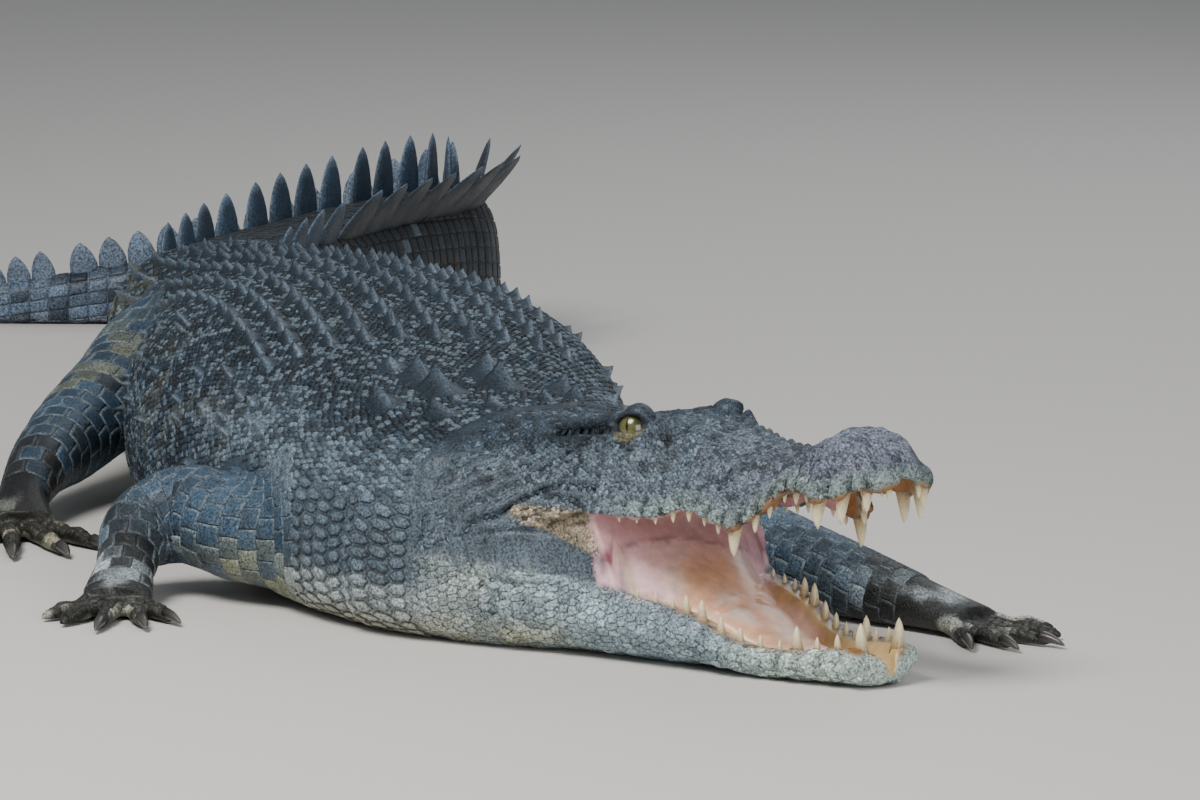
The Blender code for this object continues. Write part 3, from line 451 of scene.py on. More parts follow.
# Section of a lid: outward from the opening's edge, and towards the outside.
LID = np.array([(-0.0034, 0.0000), (-0.0014, 0.0032), (0.0018, 0.0030), (0.0034, -0.0010), (0.0044, -0.0120),
                (0.0040, -0.0240), (0.0000, -0.0240), (-0.0024, -0.0120)])


def lid_grid(side):
    """A collar of flesh round an eye's opening, rooted in the skull."""
    middle, out, along, up = eye_frame(side)
    a = np.linspace(0, math.tau, 64)[:, None]
    x, y = 0.0225 * np.cos(a), np.where(np.sin(a) > 0, 0.0112, 0.0150) * np.sin(a) * (1 + 0.15 * np.cos(a))
    depth = np.sqrt(np.maximum(0.0240**2 - x**2 - y**2, 1e-6)) * 0.86
    ring = middle + along * x + up * y + out * depth
    radial = along * np.cos(a) + up * np.sin(a)
    return ring[:, None] + radial[:, None] * LID[:, :1] + out * LID[:, 1:]


def orbit_grid(side):
    """The raised mound of bone and flesh that carries an eye on its outer face."""
    middle, out, along, up = eye_frame(side)
    tilt, turn = ring_grid(np.linspace(0.01, math.pi - 0.01, 20), 32)
    x, y, z = np.sin(tilt) * np.cos(turn), np.sin(tilt) * np.sin(turn), np.cos(tilt)
    return (middle - out * 0.014 + up * 0.003 + along * 0.036 * x[..., None] + up * 0.0160 * y[..., None]
            + out * 0.022 * z[..., None])


head_grids += [grid(side) for grid in (lid_grid, orbit_grid) for side in (1, -1)]
head_mesh = merged("head", head_grids, 0.0031, 3)

# %% [markdown]
# ## Folds and lumps of the head
# A lofted tube is too plain for a face. On the real skull the skin is tight over bone, so the brow, the
# ridges before the eyes, the edge of the skull table and the bulges over the roots of the great teeth all
# show, while the cheek behind the mouth hangs in folds. Each is a soft bump or a crease along a line, given
# in the head's own frame, and moves the skin along its normals.

# %% Bumps and creases
def mirrored(points):
    """The points with their side made positive, so that one feature shapes both sides."""
    return points * (1, 0, 1) + np.abs(points) * (0, 1, 0)


def noise(points, size, seed=0):
    """Smooth noise from -1 to 1 with lumps of about the given size, the same at every run."""
    value, rng = np.zeros(len(points)), np.random.default_rng(SEED + seed)
    for _ in range(9):
        way = rng.normal(size=3)
        wave = math.tau / size * rng.uniform(0.55, 1.2)
        value += np.sin(points @ (way / np.linalg.norm(way)) * wave + rng.uniform(0, math.tau)
                        + 1.5 * np.sin(points @ rng.normal(size=3) * wave * 0.35))
    return np.clip(value / 3.2, -1, 1)


def bump(points, centre, size):
    """1 at the centre, falling off over the size in each direction."""
    return np.exp(-(((points - centre) / size)**2).sum(1))


def line_distance(points, line):
    """How far each point is from a line of straight stretches."""
    nearest = np.full(len(points), 9.0)
    for a, b in zip(np.array(line[:-1]), np.array(line[1:])):
        t = np.clip((points - a) @ (b - a) / ((b - a) @ (b - a)), 0, 1)
        nearest = np.minimum(nearest, np.linalg.norm(points - a - t[:, None] * (b - a), axis=1))
    return nearest


def crease(points, line, width, depth):
    """A fold: a furrow along the line between two soft banks."""
    d = line_distance(points, line) / width
    return depth * (0.55 * np.exp(-((d - 2.2) / 1.1)**2) - np.exp(-d**2))


UPPER_TEETH = [
    (0.609, 0.014), (0.595, 0.028), (0.570, 0.033), (0.536, 0.036), (0.508, 0.012), (0.489, 0.018),
    (0.472, 0.011), (0.458, 0.014), (0.444, 0.018), (0.422, 0.034), (0.396, 0.014), (0.374, 0.012),
    (0.350, 0.014), (0.326, 0.012), (0.300, 0.009), (0.274, 0.008), (0.250, 0.008),
]
LOWER_TEETH = [
    (0.556, 0.034), (0.528, 0.018), (0.500, 0.016), (0.474, 0.030), (0.450, 0.012), (0.426, 0.015),
    (0.400, 0.018), (0.374, 0.020), (0.348, 0.025), (0.326, 0.022), (0.306, 0.013), (0.282, 0.011),
    (0.256, 0.010),
]
# Bumps of the upper jaw: centre (ahead, side, up), size, height.
SKULL_BUMPS = [
    ((0.238, 0.064, 0.122), (0.036, 0.015, 0.013), 0.0095),  # bony brow over the eye
    ((0.246, 0.074, 0.122), (0.018, 0.010, 0.008), 0.004),  # its peak
    ((0.240, 0.000, 0.126), (0.040, 0.036, 0.030), -0.008),  # hollow between the eyes
    ((0.090, 0.000, 0.133), (0.060, 0.050, 0.030), -0.004),  # skull table dips in the middle
    ((0.100, 0.080, 0.130), (0.085, 0.010, 0.010), 0.006),  # edge of the skull table
    ((0.015, 0.080, 0.138), (0.022, 0.018, 0.015), 0.006),  # its rear corner
    ((0.286, 0.060, 0.096), (0.014, 0.012, 0.010), 0.009),  # lump in front of the eye
    ((0.290, 0.080, 0.084), (0.018, 0.014, 0.009), -0.006),  # hollow under it
    ((0.330, 0.000, 0.084), (0.050, 0.018, 0.030), -0.004),  # trough between the ridges
    ((0.240, 0.112, 0.064), (0.045, 0.020, 0.016), 0.004),  # cheek bone under the eye
    ((0.424, 0.100, 0.020), (0.024, 0.030, 0.034), 0.005),  # bulge over the great tooth
    ((0.552, 0.000, 0.062), (0.034, 0.032, 0.016), 0.004),  # nose disc
    ((0.570, 0.014, 0.058), (0.006, 0.004, 0.012), -0.010),  # nostril
    ((0.560, 0.022, 0.060), (0.014, 0.006, 0.012), 0.003),  # its outer flap
    ((0.480, 0.000, 0.054), (0.024, 0.034, 0.020), -0.004),  # saddle behind the nose
]
# Ridges on the top of the snout, seen from above: line (ahead, side), width, height.
SNOUT_RIDGES = [
    ([(0.285, 0.056), (0.330, 0.041), (0.380, 0.031), (0.420, 0.030)], 0.0075, 0.0065),
    ([(0.300, 0.000), (0.400, 0.000), (0.500, 0.000)], 0.008, 0.003),
    ([(0.330, 0.075), (0.400, 0.072), (0.430, 0.070)], 0.010, 0.003),
]
# Folds seen from the side, in the upper jaw's frame: line (ahead, up), width, depth.
CHEEK_FOLDS = [
    ([(0.208, 0.108), (0.184, 0.108), (0.128, 0.113)], 0.0042, 0.0130),  # slit of the ear
    ([(0.216, 0.104), (0.180, 0.094), (0.145, 0.080), (0.100, 0.060), (0.040, 0.034)], 0.0034, 0.0055),
    ([(0.180, 0.080), (0.130, 0.066), (0.080, 0.046), (0.030, 0.024)], 0.0030, 0.0030),
    ([(0.160, 0.096), (0.110, 0.080), (0.060, 0.066), (0.000, 0.050)], 0.0030, 0.0030),
    ([(0.215, 0.036), (0.160, 0.047), (0.120, 0.042), (0.092, 0.028)], 0.0034, 0.0060),
    ([(0.165, 0.034), (0.130, 0.036), (0.095, 0.032)], 0.0026, 0.0030),
    ([(0.160, 0.020), (0.120, 0.024), (0.090, 0.026)], 0.0026, 0.0030),
    ([(0.165, 0.006), (0.130, 0.012), (0.100, 0.018)], 0.0026, 0.0030),
    ([(0.170, -0.012), (0.120, 0.000), (0.050, 0.006)], 0.0028, 0.0026),
    ([(0.262, 0.090), (0.240, 0.083), (0.215, 0.088)], 0.0030, 0.0040),  # bag under the eye
    ([(0.270, 0.082), (0.240, 0.073), (0.205, 0.080)], 0.0030, 0.0025),
]
JAW_FOLDS = [
    ([(0.100, 0.100), (0.130, 0.096), (0.170, 0.098)], 0.0030, 0.0020),
    ([(0.085, 0.165), (0.050, 0.152), (0.036, 0.135), (0.048, 0.105), (0.070, 0.070), (0.100, 0.015)],
     0.0042, 0.0055),
    ([(0.075, 0.142), (0.066, 0.118), (0.080, 0.085), (0.105, 0.045)], 0.0030, 0.0026),
    ([(0.095, 0.135), (0.092, 0.112), (0.104, 0.085), (0.125, 0.050)], 0.0030, 0.0022),
]


def outside_mouth(points):
    """1 on the outer skin of the head and 0 on the lining between the jaws."""
    upper, lower = mirrored(head_frame(points)), mirrored(jaw_frame(points))
    half, lip = smooth(CRANIUM, upper[:, 0]).T[:2]
    low_half, rim = smooth(MANDIBLE, lower[:, 0]).T[:2]
    above = step(upper[:, 2] - lip, -0.004, 0.004)
    beside = step(upper[:, 1] - half + 0.016, -0.004, 0.004)
    under = step(lower[:, 1] - low_half + 0.018, -0.004, 0.004)
    under = under + step(rim - 0.030 - lower[:, 2], -0.004, 0.004)
    return np.clip(above + np.where(lower[:, 2] > rim, beside, under), 0, 1)


def shape_head(mesh):
    """Moves the head's skin along its normals by the sum of its bumps, ridges and folds."""
    points, normals = points_of(mesh), points_of(mesh, "normal")
    upper, lower = mirrored(head_frame(points)), mirrored(jaw_frame(points))
    rim = smooth(MANDIBLE, lower[:, 0])[:, 1]
    on_jaw = (lower[:, 2] < rim + 0.003) & (lower[:, 0] > -0.02)
    outside = np.sign(head_frame(points)[:, 1]) * (normals @ LATERAL) > 0.15
    move = np.zeros(len(points))
    for centre, size, height in SKULL_BUMPS:
        move += height * bump(upper, centre, size) * (normals[:, 2] > -0.4)
    on_top = (normals[:, 2] > 0.1) & ~on_jaw & (upper[:, 0] > 0.2)
    for line, width, height in SNOUT_RIDGES:
        beads = 1 + 0.35 * np.cos(upper[:, 0] * 420)
        move += on_top * height * beads * np.exp(-(line_distance(upper[:, :2], line) / width)**2)
    side = outside & (upper[:, 1] > 0.07)
    for line, width, depth in CHEEK_FOLDS:
        move += (side & ~on_jaw) * crease(upper[:, ::2], line, width, depth)
    for line, width, depth in JAW_FOLDS:
        move += side * crease(lower[:, ::2], line, width, depth)
    lumps = 0.0016 * noise(points, 0.045, 31) + 0.0010 * noise(points, 0.018, 32)
    move += lumps * outside_mouth(points) * (upper[:, 0] > -0.03)
    lip = smooth(CRANIUM, upper[:, 0])[:, 1]
    near_lip = np.exp(-((upper[:, 2] - lip - 0.010) / 0.016)**2) * (~on_jaw) * outside * (upper[:, 0] > 0.21)
    near_rim = np.exp(-((lower[:, 2] - rim + 0.012) / 0.014)**2) * on_jaw * outside * (lower[:, 0] > 0.2)
    for teeth, place, near in ((UPPER_TEETH, upper, near_lip), (LOWER_TEETH, lower, near_rim)):
        roots = np.array(teeth)
        middle = (roots[1:, 0] + roots[:-1, 0]) / 2
        for ahead, height in teeth:
            lump = 0.0018 + height * (0.18 + 0.10 * (ahead > 0.46))
            move += near * lump * np.exp(-((place[:, 0] - ahead) / 0.010)**2)
        for ahead in middle:
            move -= near * 0.0042 * np.exp(-((place[:, 0] - ahead) / 0.0026)**2)
    moved = points + normals * move[:, None]
    moved[:, 2] = np.maximum(moved[:, 2], 0.001)
    mesh.vertices.foreach_set("co", moved.ravel())
    mesh.update()


shape_head(head_mesh)

# %% [markdown]
# ## Colours of the hide
# Wet saltwater crocodiles are slate blue above, with black blotches and paler, yellowish or cream flanks;
# the snout is purplish grey, the lips and chin mint, and the hands are muddy. The colours are a small
# palette, mixed by where a point lies on the body, and stored on the mesh, so that skin and scales agree.

# %% Palette and paint
def linear(code):
    """An sRGB hex colour as linear red, green and blue."""
    value = np.array([int(code[i:i + 2], 16) for i in (1, 3, 5)]) / 255
    return np.where(value <= 0.04045, value / 12.92, ((value + 0.055) / 1.055)**2.4)


SLATE, DARK, BACK = linear("#213444"), linear("#0f1518"), linear("#1a2731")
BLUE, PALE, CREAM = linear("#31475b"), linear("#7c8d9a"), linear("#a3a088")
YELLOW, MUD, LINE = linear("#7d7b4f"), linear("#191917"), linear("#8b979d")
SNOUT, CHEEK, MINT, JAW = linear("#626875"), linear("#5f6c77"), linear("#c9dcd4"), linear("#98acb4")
PINK, SALMON, BLUSH, PIT_SHADE = linear("#ecc0c6"), linear("#efbb98"), linear("#efd9cf"), linear("#7d3c4e")
OCHRE, PALATE, PURPLE, GUM = linear("#cdb07c"), linear("#8a5f33"), linear("#c09aa6"), linear("#dccfae")
TAIL_DARK, TAIL_END, NECK_SIDE = linear("#0d1215"), linear("#66768a"), linear("#5f6f7c")
NECK_LOW, LIMB_STAIN, LIMB_LOW = linear("#a9b4b6"), linear("#77785a"), linear("#8f9170")
NOSE, LIP, FOLD_SKIN, FOLD_SHADE = linear("#747b8c"), linear("#8fa29e"), linear("#bfae90"), linear("#4a4540")
LID_BELOW, LID_ABOVE, JAW_GROOVE_SHADE = linear("#7d7652"), linear("#1f262b"), linear("#3c4640")
JAW_LOW, JAW_BLOTCH, SHELF_PINK = linear("#b5b391"), linear("#6f7f8a"), linear("#c99a9c")
# Upper edge of the folded skin at the corner of the mouth, and the edge of the soft shelf behind the
# tongue: places to the left, then heights, both in the upper jaw's frame.
FOLD_EDGE = [(0.095, 0.030), (0.132, 0.047), (0.205, 0.018)]
SHELF = (-0.115, -0.080, -0.020, 0.040, 0.100), (-0.047, -0.030, -0.026, -0.038, -0.050)


def mix(colours, other, share):
    """Colours moved towards another one by a share at each point."""
    return colours + (other - colours) * np.clip(np.broadcast_to(share, len(colours)), 0, 1)[:, None]


def spine_frame(points):
    """For world points: the distance along the spine and the offset to the animal's left."""
    stations = np.arange(0, SPINE_LENGTH, 0.02)
    centre = smooth(SPINE, stations)
    ahead = smooth(SPINE, stations + 0.004) - smooth(SPINE, stations - 0.004)
    ahead /= np.linalg.norm(ahead, axis=1)[:, None]
    s, offset = np.empty(len(points)), np.empty(len(points))
    for start in range(0, len(points), 20000):
        flat = points[start:start + 20000, :2]
        nearest = ((flat[:, None] - centre)**2).sum(2).argmin(1)
        gap = flat - centre[nearest]
        s[start:start + 20000] = stations[nearest] + (gap * ahead[nearest]).sum(1)
        offset[start:start + 20000] = gap[:, 0] * ahead[nearest, 1] - gap[:, 1] * ahead[nearest, 0]
    return s, offset


def limb_share(points):
    """How near each point is to a limb (0 to 1), and how far down the limb it lies, from 0 to 1 and on."""
    near, down = np.zeros(len(points)), np.zeros(len(points))
    for limb, (surface, length) in TUBES.items():
        path = measured(LIMBS[limb][0])
        stations = np.linspace(0.22, 1.0, 40)
        centre = smooth(path, stations * length)
        for start in range(0, len(points), 20000):
            part = slice(start, start + 20000)
            gap = np.linalg.norm(points[part, None] - centre, axis=2)
            best = gap.argmin(1)
            reach = smooth(np.column_stack([path[:, 0], LIMBS[limb][1]]), stations[best] * length).max(1)
            share = 1 - step(gap.min(1), reach * 1.12, reach * 1.45)
            past = (points[part] - centre[-1]) @ (centre[-1] - centre[-2]) / 0.2 / np.linalg.norm(
                centre[-1] - centre[-2])
            hand = 1 - step(np.linalg.norm(points[part, :2] - centre[-1, :2], axis=1), 0.17, 0.20)
            share = np.maximum(share, hand * (points[part, 2] < 0.06))
            here = share > near[part]
            near[part] = np.where(here, share, near[part])
            down[part] = np.where(here, stations[best] + np.maximum(past, 0) * (best == 39), down[part])
    return near, down


def paint(points, mouth=False):
    """The hide's colour at each world point, and on request how far it belongs to the mouth's lining."""
    s, offset = spine_frame(points)
    half, top, widest, _ = smooth(BODY, s).T
    low = 1 - np.clip(points[:, 2] / widest, 0, 1)
    side = np.abs(offset) / half
    blotch = noise(points, 0.11, 1) + 0.5 * noise(points, 0.045, 2)
    colour = np.tile(SLATE, (len(points), 1))
    colour = mix(colour, DARK, 0.65 * step(blotch, 0.1, 0.8))
    colour = mix(colour, PALE, 0.18 * step(-blotch, 0.3, 0.9))
    colour = mix(colour, CREAM, 0.14 * step(side, 0.72, 0.95) * (s < 1.7)
                 * step(-noise(points, 0.07, 3), -0.2, 0.6))
    colour = mix(colour, BACK, 0.75 * step(points[:, 2] / top, 0.66, 0.95))
    colour = mix(colour, CREAM, 0.9 * step(low, 0.50, 0.88) * (s < 3.3))
    rump = np.exp(-((s - 1.38) / 0.24)**2) * step(side, 0.5, 0.9)
    colour = mix(colour, YELLOW, 0.35 * rump * step(noise(points, 0.04, 4), 0.0, 0.5))
    tail = step(s, 1.42, 1.95) * (1 - step(s, 2.50, 2.72))
    colour = mix(colour, TAIL_DARK, tail * (0.70 + 0.25 * step(low, 0.0, 0.3)))
    colour = mix(colour, YELLOW, 0.45 * tail * step(noise(points, 0.035, 5), 0.25, 0.7)
                 * step(low, 0.05, 0.5))
    colour = mix(colour, TAIL_END, 0.85 * step(s, 2.50, 2.78))
    colour = mix(colour, DARK, 0.5 * step(s, 2.6, 2.8) * step(noise(points, 0.05, 6), 0.1, 0.6))
    neck = (1 - step(s, 0.30, 0.50)) * step(side, 0.60, 0.88)
    colour = mix(colour, NECK_SIDE, 0.8 * neck)
    colour = mix(colour, NECK_LOW, 0.85 * neck * step(low, 0.02, 0.35))
    colour = mix(colour, CREAM, 0.7 * neck * step(low, 0.45, 0.85))
    near, down = limb_share(points)
    colour = mix(colour, BLUE, 0.85 * near * (1 - step(down, 0.72, 0.9)))
    colour = mix(colour, DARK, 0.6 * near * step(noise(points, 0.06, 7), 0.3, 0.7) * step(down, 0.2, 0.5))
    blotched = near * (s > 1.1) * step(down, 0.20, 0.35) * (1 - step(down, 0.55, 0.7))
    colour = mix(colour, LIMB_STAIN, 0.5 * blotched * step(noise(points, 0.05, 10), 0.0, 0.35))
    under = near * (1 - step(points[:, 2], 0.040, 0.095)) * (1 - step(down, 0.35, 0.50))
    colour = mix(colour, LIMB_LOW, 0.8 * under * step(noise(points, 0.05, 8), -0.6, 0.1))
    colour = mix(colour, MUD, 0.93 * near * step(down, 0.60, 0.82) * step(noise(points, 0.06, 9), -1.0, -0.2))
    colour, inside = paint_head(points, colour)
    return (colour, inside) if mouth else colour


def paint_head(points, colour):
    """The colours of the head and the mouth's lining over those of the body, and the lining's share."""
    signed, lower = head_frame(points), mirrored(jaw_frame(points))
    upper = mirrored(signed)
    half, lip, _, crown, _ = smooth(CRANIUM, upper[:, 0]).T
    low_half, rim = smooth(MANDIBLE, lower[:, 0]).T[:2]
    head = step(upper[:, 0], -0.05, 0.03) * (1 - step(upper[:, 1] - np.maximum(half, low_half), 0.020, 0.040))
    height = (upper[:, 2] - lip) / (crown - lip)
    skull = mix(colour, CHEEK, 1.0)
    skull = mix(skull, SLATE, 0.8 * (1 - step(upper[:, 0], 0.20, 0.40)) * step(height, 0.55, 0.9))
    skull = mix(skull, SNOUT, step(upper[:, 0], 0.30, 0.5))
    skull = mix(skull, DARK, 0.55 * step(noise(points, 0.026, 11), 0.1, 0.7) * step(height, 0.1, 0.5))
    # Painted shadow in the hollow under the lump in front of the eye.
    skull = mix(skull, DARK, 0.8 * bump(upper, (0.288, 0.078, 0.084), (0.018, 0.02, 0.010)))
    skull = mix(skull, NOSE, 0.7 * step(upper[:, 0], 0.50, 0.55) * step(height, 0.2, 0.6))
    lips = (1 - step(upper[:, 2] - lip, 0.006, 0.030)) * step(upper[:, 0], 0.20, 0.32)
    skull = mix(skull, LIP, 0.85 * lips)
    # Painted shade along the slit of the ear.
    skull = mix(skull, DARK, 0.9 * np.exp(-(line_distance(upper[:, ::2], CHEEK_FOLDS[0][0]) / 0.007)**2)
                * (upper[:, 1] > 0.06))
    run = (upper[:, 0] - 0.095) / 0.112
    away = np.abs(upper[:, 2] - 0.030 + 0.045 * run) - 0.004 - 0.022 * run
    # Painted shade: dark lines in the grooves between the lobes over the upper teeth.
    grooves = np.array(UPPER_TEETH)[:, 0]
    groove = np.abs(upper[:, :1] - (grooves[1:] + grooves[:-1]) / 2).min(1)
    near_lip = 1 - step(upper[:, 2] - lip, 0.010, 0.022)
    skull = mix(skull, DARK, 0.85 * np.exp(-(groove / 0.0030)**2) * near_lip * (upper[:, 0] > 0.30))
    fold = step(run, -0.03, 0.08) * (1 - step(run, 1.0, 1.1)) * (1 - step(away, -0.002, 0.004))
    fold = fold * (upper[:, 1] > 0.07)
    skull = mix(skull, FOLD_SKIN, 0.85 * fold)
    streaks = noise(upper * (0.22, 0.6, 1.6), 0.011, 13)
    skull = mix(skull, FOLD_SHADE, 0.75 * fold * step(streaks, 0.15, 0.55))
    # Painted shade along the upper edge of the fold at the corner of the mouth.
    over = np.exp(-(line_distance(upper[:, ::2], FOLD_EDGE) / 0.004)**2)
    skull = mix(skull, DARK, 0.8 * over * (upper[:, 1] > 0.07))
    eye = np.minimum(*[np.linalg.norm(points - eye_frame(side)[0], axis=1) for side in (1, -1)])
    below = step(EYE_PLACE[2] - 0.003 - upper[:, 2], -0.003, 0.003)
    skull = mix(skull, LID_BELOW, 0.8 * below * (1 - step(eye, 0.0245, 0.029)))
    skull = mix(skull, LID_ABOVE, 0.8 * (1 - below) * (1 - step(eye, 0.0245, 0.030)))
    jaw = mix(colour, JAW, 1.0)
    jaw = mix(jaw, MINT, step(lower[:, 0], 0.34, 0.48))
    jaw = mix(jaw, JAW_LOW, 0.75 * (1 - step(lower[:, 2], 0.015, 0.060)) * (
        1 - step(lower[:, 0], 0.10, 0.24)) * step(noise(points, 0.06, 14), -0.7, 0.1))
    jaw = mix(jaw, CREAM, 0.4 * (1 - step(lower[:, 0], 0.02, 0.2)))
    jaw = mix(jaw, JAW_BLOTCH, 0.5 * step(noise(points, 0.05, 12), -0.1, 0.6) * (lower[:, 0] < 0.4))
    jaw = mix(jaw, MUD, 0.9 * step(noise(points * (1, 1, 0.3), 0.03, 15), 0.0, 0.4) * (
        1 - step(lower[:, 2], 0.002, 0.009)) * (lower[:, 0] > 0.3))
    # Painted shade: darker lines in the grooves between the lobes over the lower teeth.
    grooves = np.array(LOWER_TEETH)[:, 0]
    groove = np.abs(lower[:, :1] - (grooves[1:] + grooves[:-1]) / 2).min(1)
    jaw = mix(jaw, JAW_GROOVE_SHADE, 0.8 * np.exp(-(groove / 0.0030)**2) * (lower[:, 0] > 0.36) * step(
        lower[:, 2] - rim, -0.026, -0.010))
    on_jaw = 1 - step(lower[:, 2] - rim, 0.000, 0.012)
    shown = mix(skull, jaw, on_jaw * (1 - fold))
    lining, inside = paint_mouth(points, signed, lower)
    return mix(colour, mix(shown, lining, inside), head), inside * head


def paint_mouth(points, signed, lower):
    """The colours between the jaws: inside the lips, above the lower jaw's floor and up to the palate."""
    upper = mirrored(signed)
    half, lip, _, _, palate = smooth(CRANIUM, upper[:, 0]).T
    low_half, rim, _, keel, arm = smooth(MANDIBLE, lower[:, 0]).T
    on_jaw = 1 - step(lower[:, 2] - rim, 0.000, 0.012)
    floor = np.maximum(rim - JAW_FLOOR_DROP, np.maximum(keel, 0.001) + 0.012)
    inside_low = step(low_half - arm * 0.55 - lower[:, 1], -0.004, 0.004)
    inside_low = inside_low * step(lower[:, 2] - floor, -0.006, -0.002)
    inside_low *= (lower[:, 0] > 0.1) * (1 - step(lower[:, 2] - rim, 0.03, 0.06))
    inside_up = (1 - step(upper[:, 2] - np.maximum(palate, lip), -0.001, 0.003)) * step(
        half - LIP_WIDTH * 0.8 - upper[:, 1], 0.000, 0.004) * (upper[:, 0] > 0.12) * (1 - on_jaw)
    between = (1 - step(upper[:, 2] - lip, -0.004, 0.002)) * step(lower[:, 2] - rim, -0.002, 0.004)
    between *= step(upper[:, 0] - 0.202 - 0.40 * np.clip(-upper[:, 2], 0, 0.1), -0.003, 0.003)
    lining = np.tile(PALATE, (len(points), 1))
    lining = mix(lining, OCHRE, inside_low)
    share = lower[:, 1] / low_half
    throat = (1 - on_jaw) * (upper[:, 2] < palate - 0.004) * (lower[:, 0] < 0.40)
    back = np.maximum(throat, inside_low * (lower[:, 0] < 0.40) * (1 - step(share, 0.60, 0.72)))
    lining = mix(lining, SALMON, back)
    lining = mix(lining, BLUSH, 0.6 * back * step(noise(points, 0.06, 16), -0.2, 0.6))
    lining = mix(lining, PINK, throat * step(share, 0.52, 0.70))
    lining = mix(lining, PURPLE, 0.8 * throat * step(share, 0.5, 0.7) * (signed[:, 1] > 0))
    lining = mix(lining, PINK, 0.8 * (1 - step(upper[:, 0] + 0.4 * upper[:, 2], 0.205, 0.235)))
    shelf = np.interp(signed[:, 1], *SHELF)
    over_shelf = signed[:, 2] - shelf
    lining = mix(lining, SHELF_PINK, 0.65 * throat * step(over_shelf, -0.003, 0.003))
    # Painted shade: a dark line under the edge of the shelf.
    lining = mix(lining, PIT_SHADE, 0.55 * throat * np.exp(-(over_shelf / 0.0022)**2))
    # Painted shade deep in the corners of the mouth.
    corner_pit_shade = bump(signed, (0.218, -0.113, -0.045), (0.012, 0.020, 0.010)) + bump(upper, (0.218, 0.113, -0.045), (
        0.012, 0.010, 0.010)) * (signed[:, 1] > 0)
    lining = mix(lining, PIT_SHADE, 0.9 * np.clip(1.6 * corner_pit_shade, 0, 1))
    lining = mix(lining, GUM, 0.7 * inside_low * step(share, 0.66, 0.80) * (signed[:, 1] < 0))
    deep = throat * (lower[:, 0] > 0.16) * step(half - 0.010 - upper[:, 1], 0, 0.004)
    inside_up = np.maximum(inside_up, deep)
    inside = inside_low * (lower[:, 0] > 0.2) + np.maximum(inside_up * (upper[:, 0] > 0.2), between)
    return lining, np.clip(inside, 0, 1)


# %% [markdown]
# ## Material of the hide
# One material dresses the skin and every scale. It takes the painted colour, adds a salt-and-pepper speckle
# and a soft wash of lighter and darker patches, and gives fine wrinkles and pits. Wet horn has a soft sheen,
# so its roughness varies around the middle.

# %% Hide material
def node(tree, kind, settings=None, **links):
    """Adds a node, sets its inputs and properties, and links sockets given as (node, output)."""
    made = tree.nodes.new("ShaderNode" + kind)
    for key, value in (settings or {}).items():
        if isinstance(key, str) and hasattr(made, key):
            setattr(made, key, value)
        else:
            made.inputs[key].default_value = value
    for key, (source, output) in links.items():
        place = int(key[1:]) if key[0] == "i" and key[1:].isdigit() else key.replace("_", " ")
        tree.links.new(source.outputs[output], made.inputs[place])
    return made


def new_material(name, **inputs):
    """A material, its node tree and its shader, with the shader's inputs set by their names."""
    material = bpy.data.materials.new(name)
    material.use_nodes = True
    shader = material.node_tree.nodes["Principled BSDF"]
    for key, value in inputs.items():
        shader.inputs[key.replace("_", " ")].default_value = value
    return material, material.node_tree, shader


SPECKLE, HIDE_ROUGHNESS, WRINKLES = 0.70, (0.36, 0.62), 260.0


def hide_material():
    """Horny hide: painted colour with speckle, fine wrinkles, and a moist sheen."""
    material, tree, shader = new_material("crocodile_hide", Specular_IOR_Level=0.30, Coat_Weight=0.08,
                                          Coat_Roughness=0.20)
    place = node(tree, "TexCoord")
    tint = node(tree, "Attribute", {"attribute_name": "tint"})
    grain = node(tree, "TexNoise", {"Scale": 330.0, "Detail": 3.0, "Roughness": 0.65},
                 Vector=(place, "Object"))
    grain_ramp = node(tree, "MapRange", {"From Min": 0.36, "From Max": 0.66, "To Min": 1 - SPECKLE,
                                         "To Max": 1 + SPECKLE}, Value=(grain, "Fac"))
    wash = node(tree, "TexNoise", {"Scale": 28.0, "Detail": 4.0}, Vector=(place, "Object"))
    wash_ramp = node(tree, "MapRange", {"From Min": 0.3, "From Max": 0.7, "To Min": 0.78, "To Max": 1.2},
                     Value=(wash, "Fac"))
    both = node(tree, "Math", {"operation": "MULTIPLY"}, i0=(grain_ramp, 0), i1=(wash_ramp, 0))
    scaled = node(tree, "VectorMath", {"operation": "SCALE"}, i0=(tint, "Color"), i3=(both, 0))
    tree.links.new(scaled.outputs[0], shader.inputs["Base Color"])
    rough = node(tree, "MapRange", {"From Min": 0.3, "From Max": 0.7, "To Min": HIDE_ROUGHNESS[0],
                                    "To Max": HIDE_ROUGHNESS[1]}, Value=(wash, "Fac"))
    tree.links.new(rough.outputs[0], shader.inputs["Roughness"])
    cells = node(tree, "TexVoronoi", {"Scale": WRINKLES, "feature": "DISTANCE_TO_EDGE"},
                 Vector=(place, "Object"))
    cell_ramp = node(tree, "MapRange", {"From Min": 0.0, "From Max": 0.12}, Value=(cells, "Distance"))
    relief = node(tree, "Math", {"operation": "MULTIPLY_ADD", 1: 0.6}, i0=(cell_ramp, 0), i2=(grain, "Fac"))
    bump_node = node(tree, "Bump", {"Strength": 0.55, "Distance": 0.0012}, Height=(relief, 0))
    tree.links.new(bump_node.outputs[0], shader.inputs["Normal"])
    return material


HIDE = hide_material()


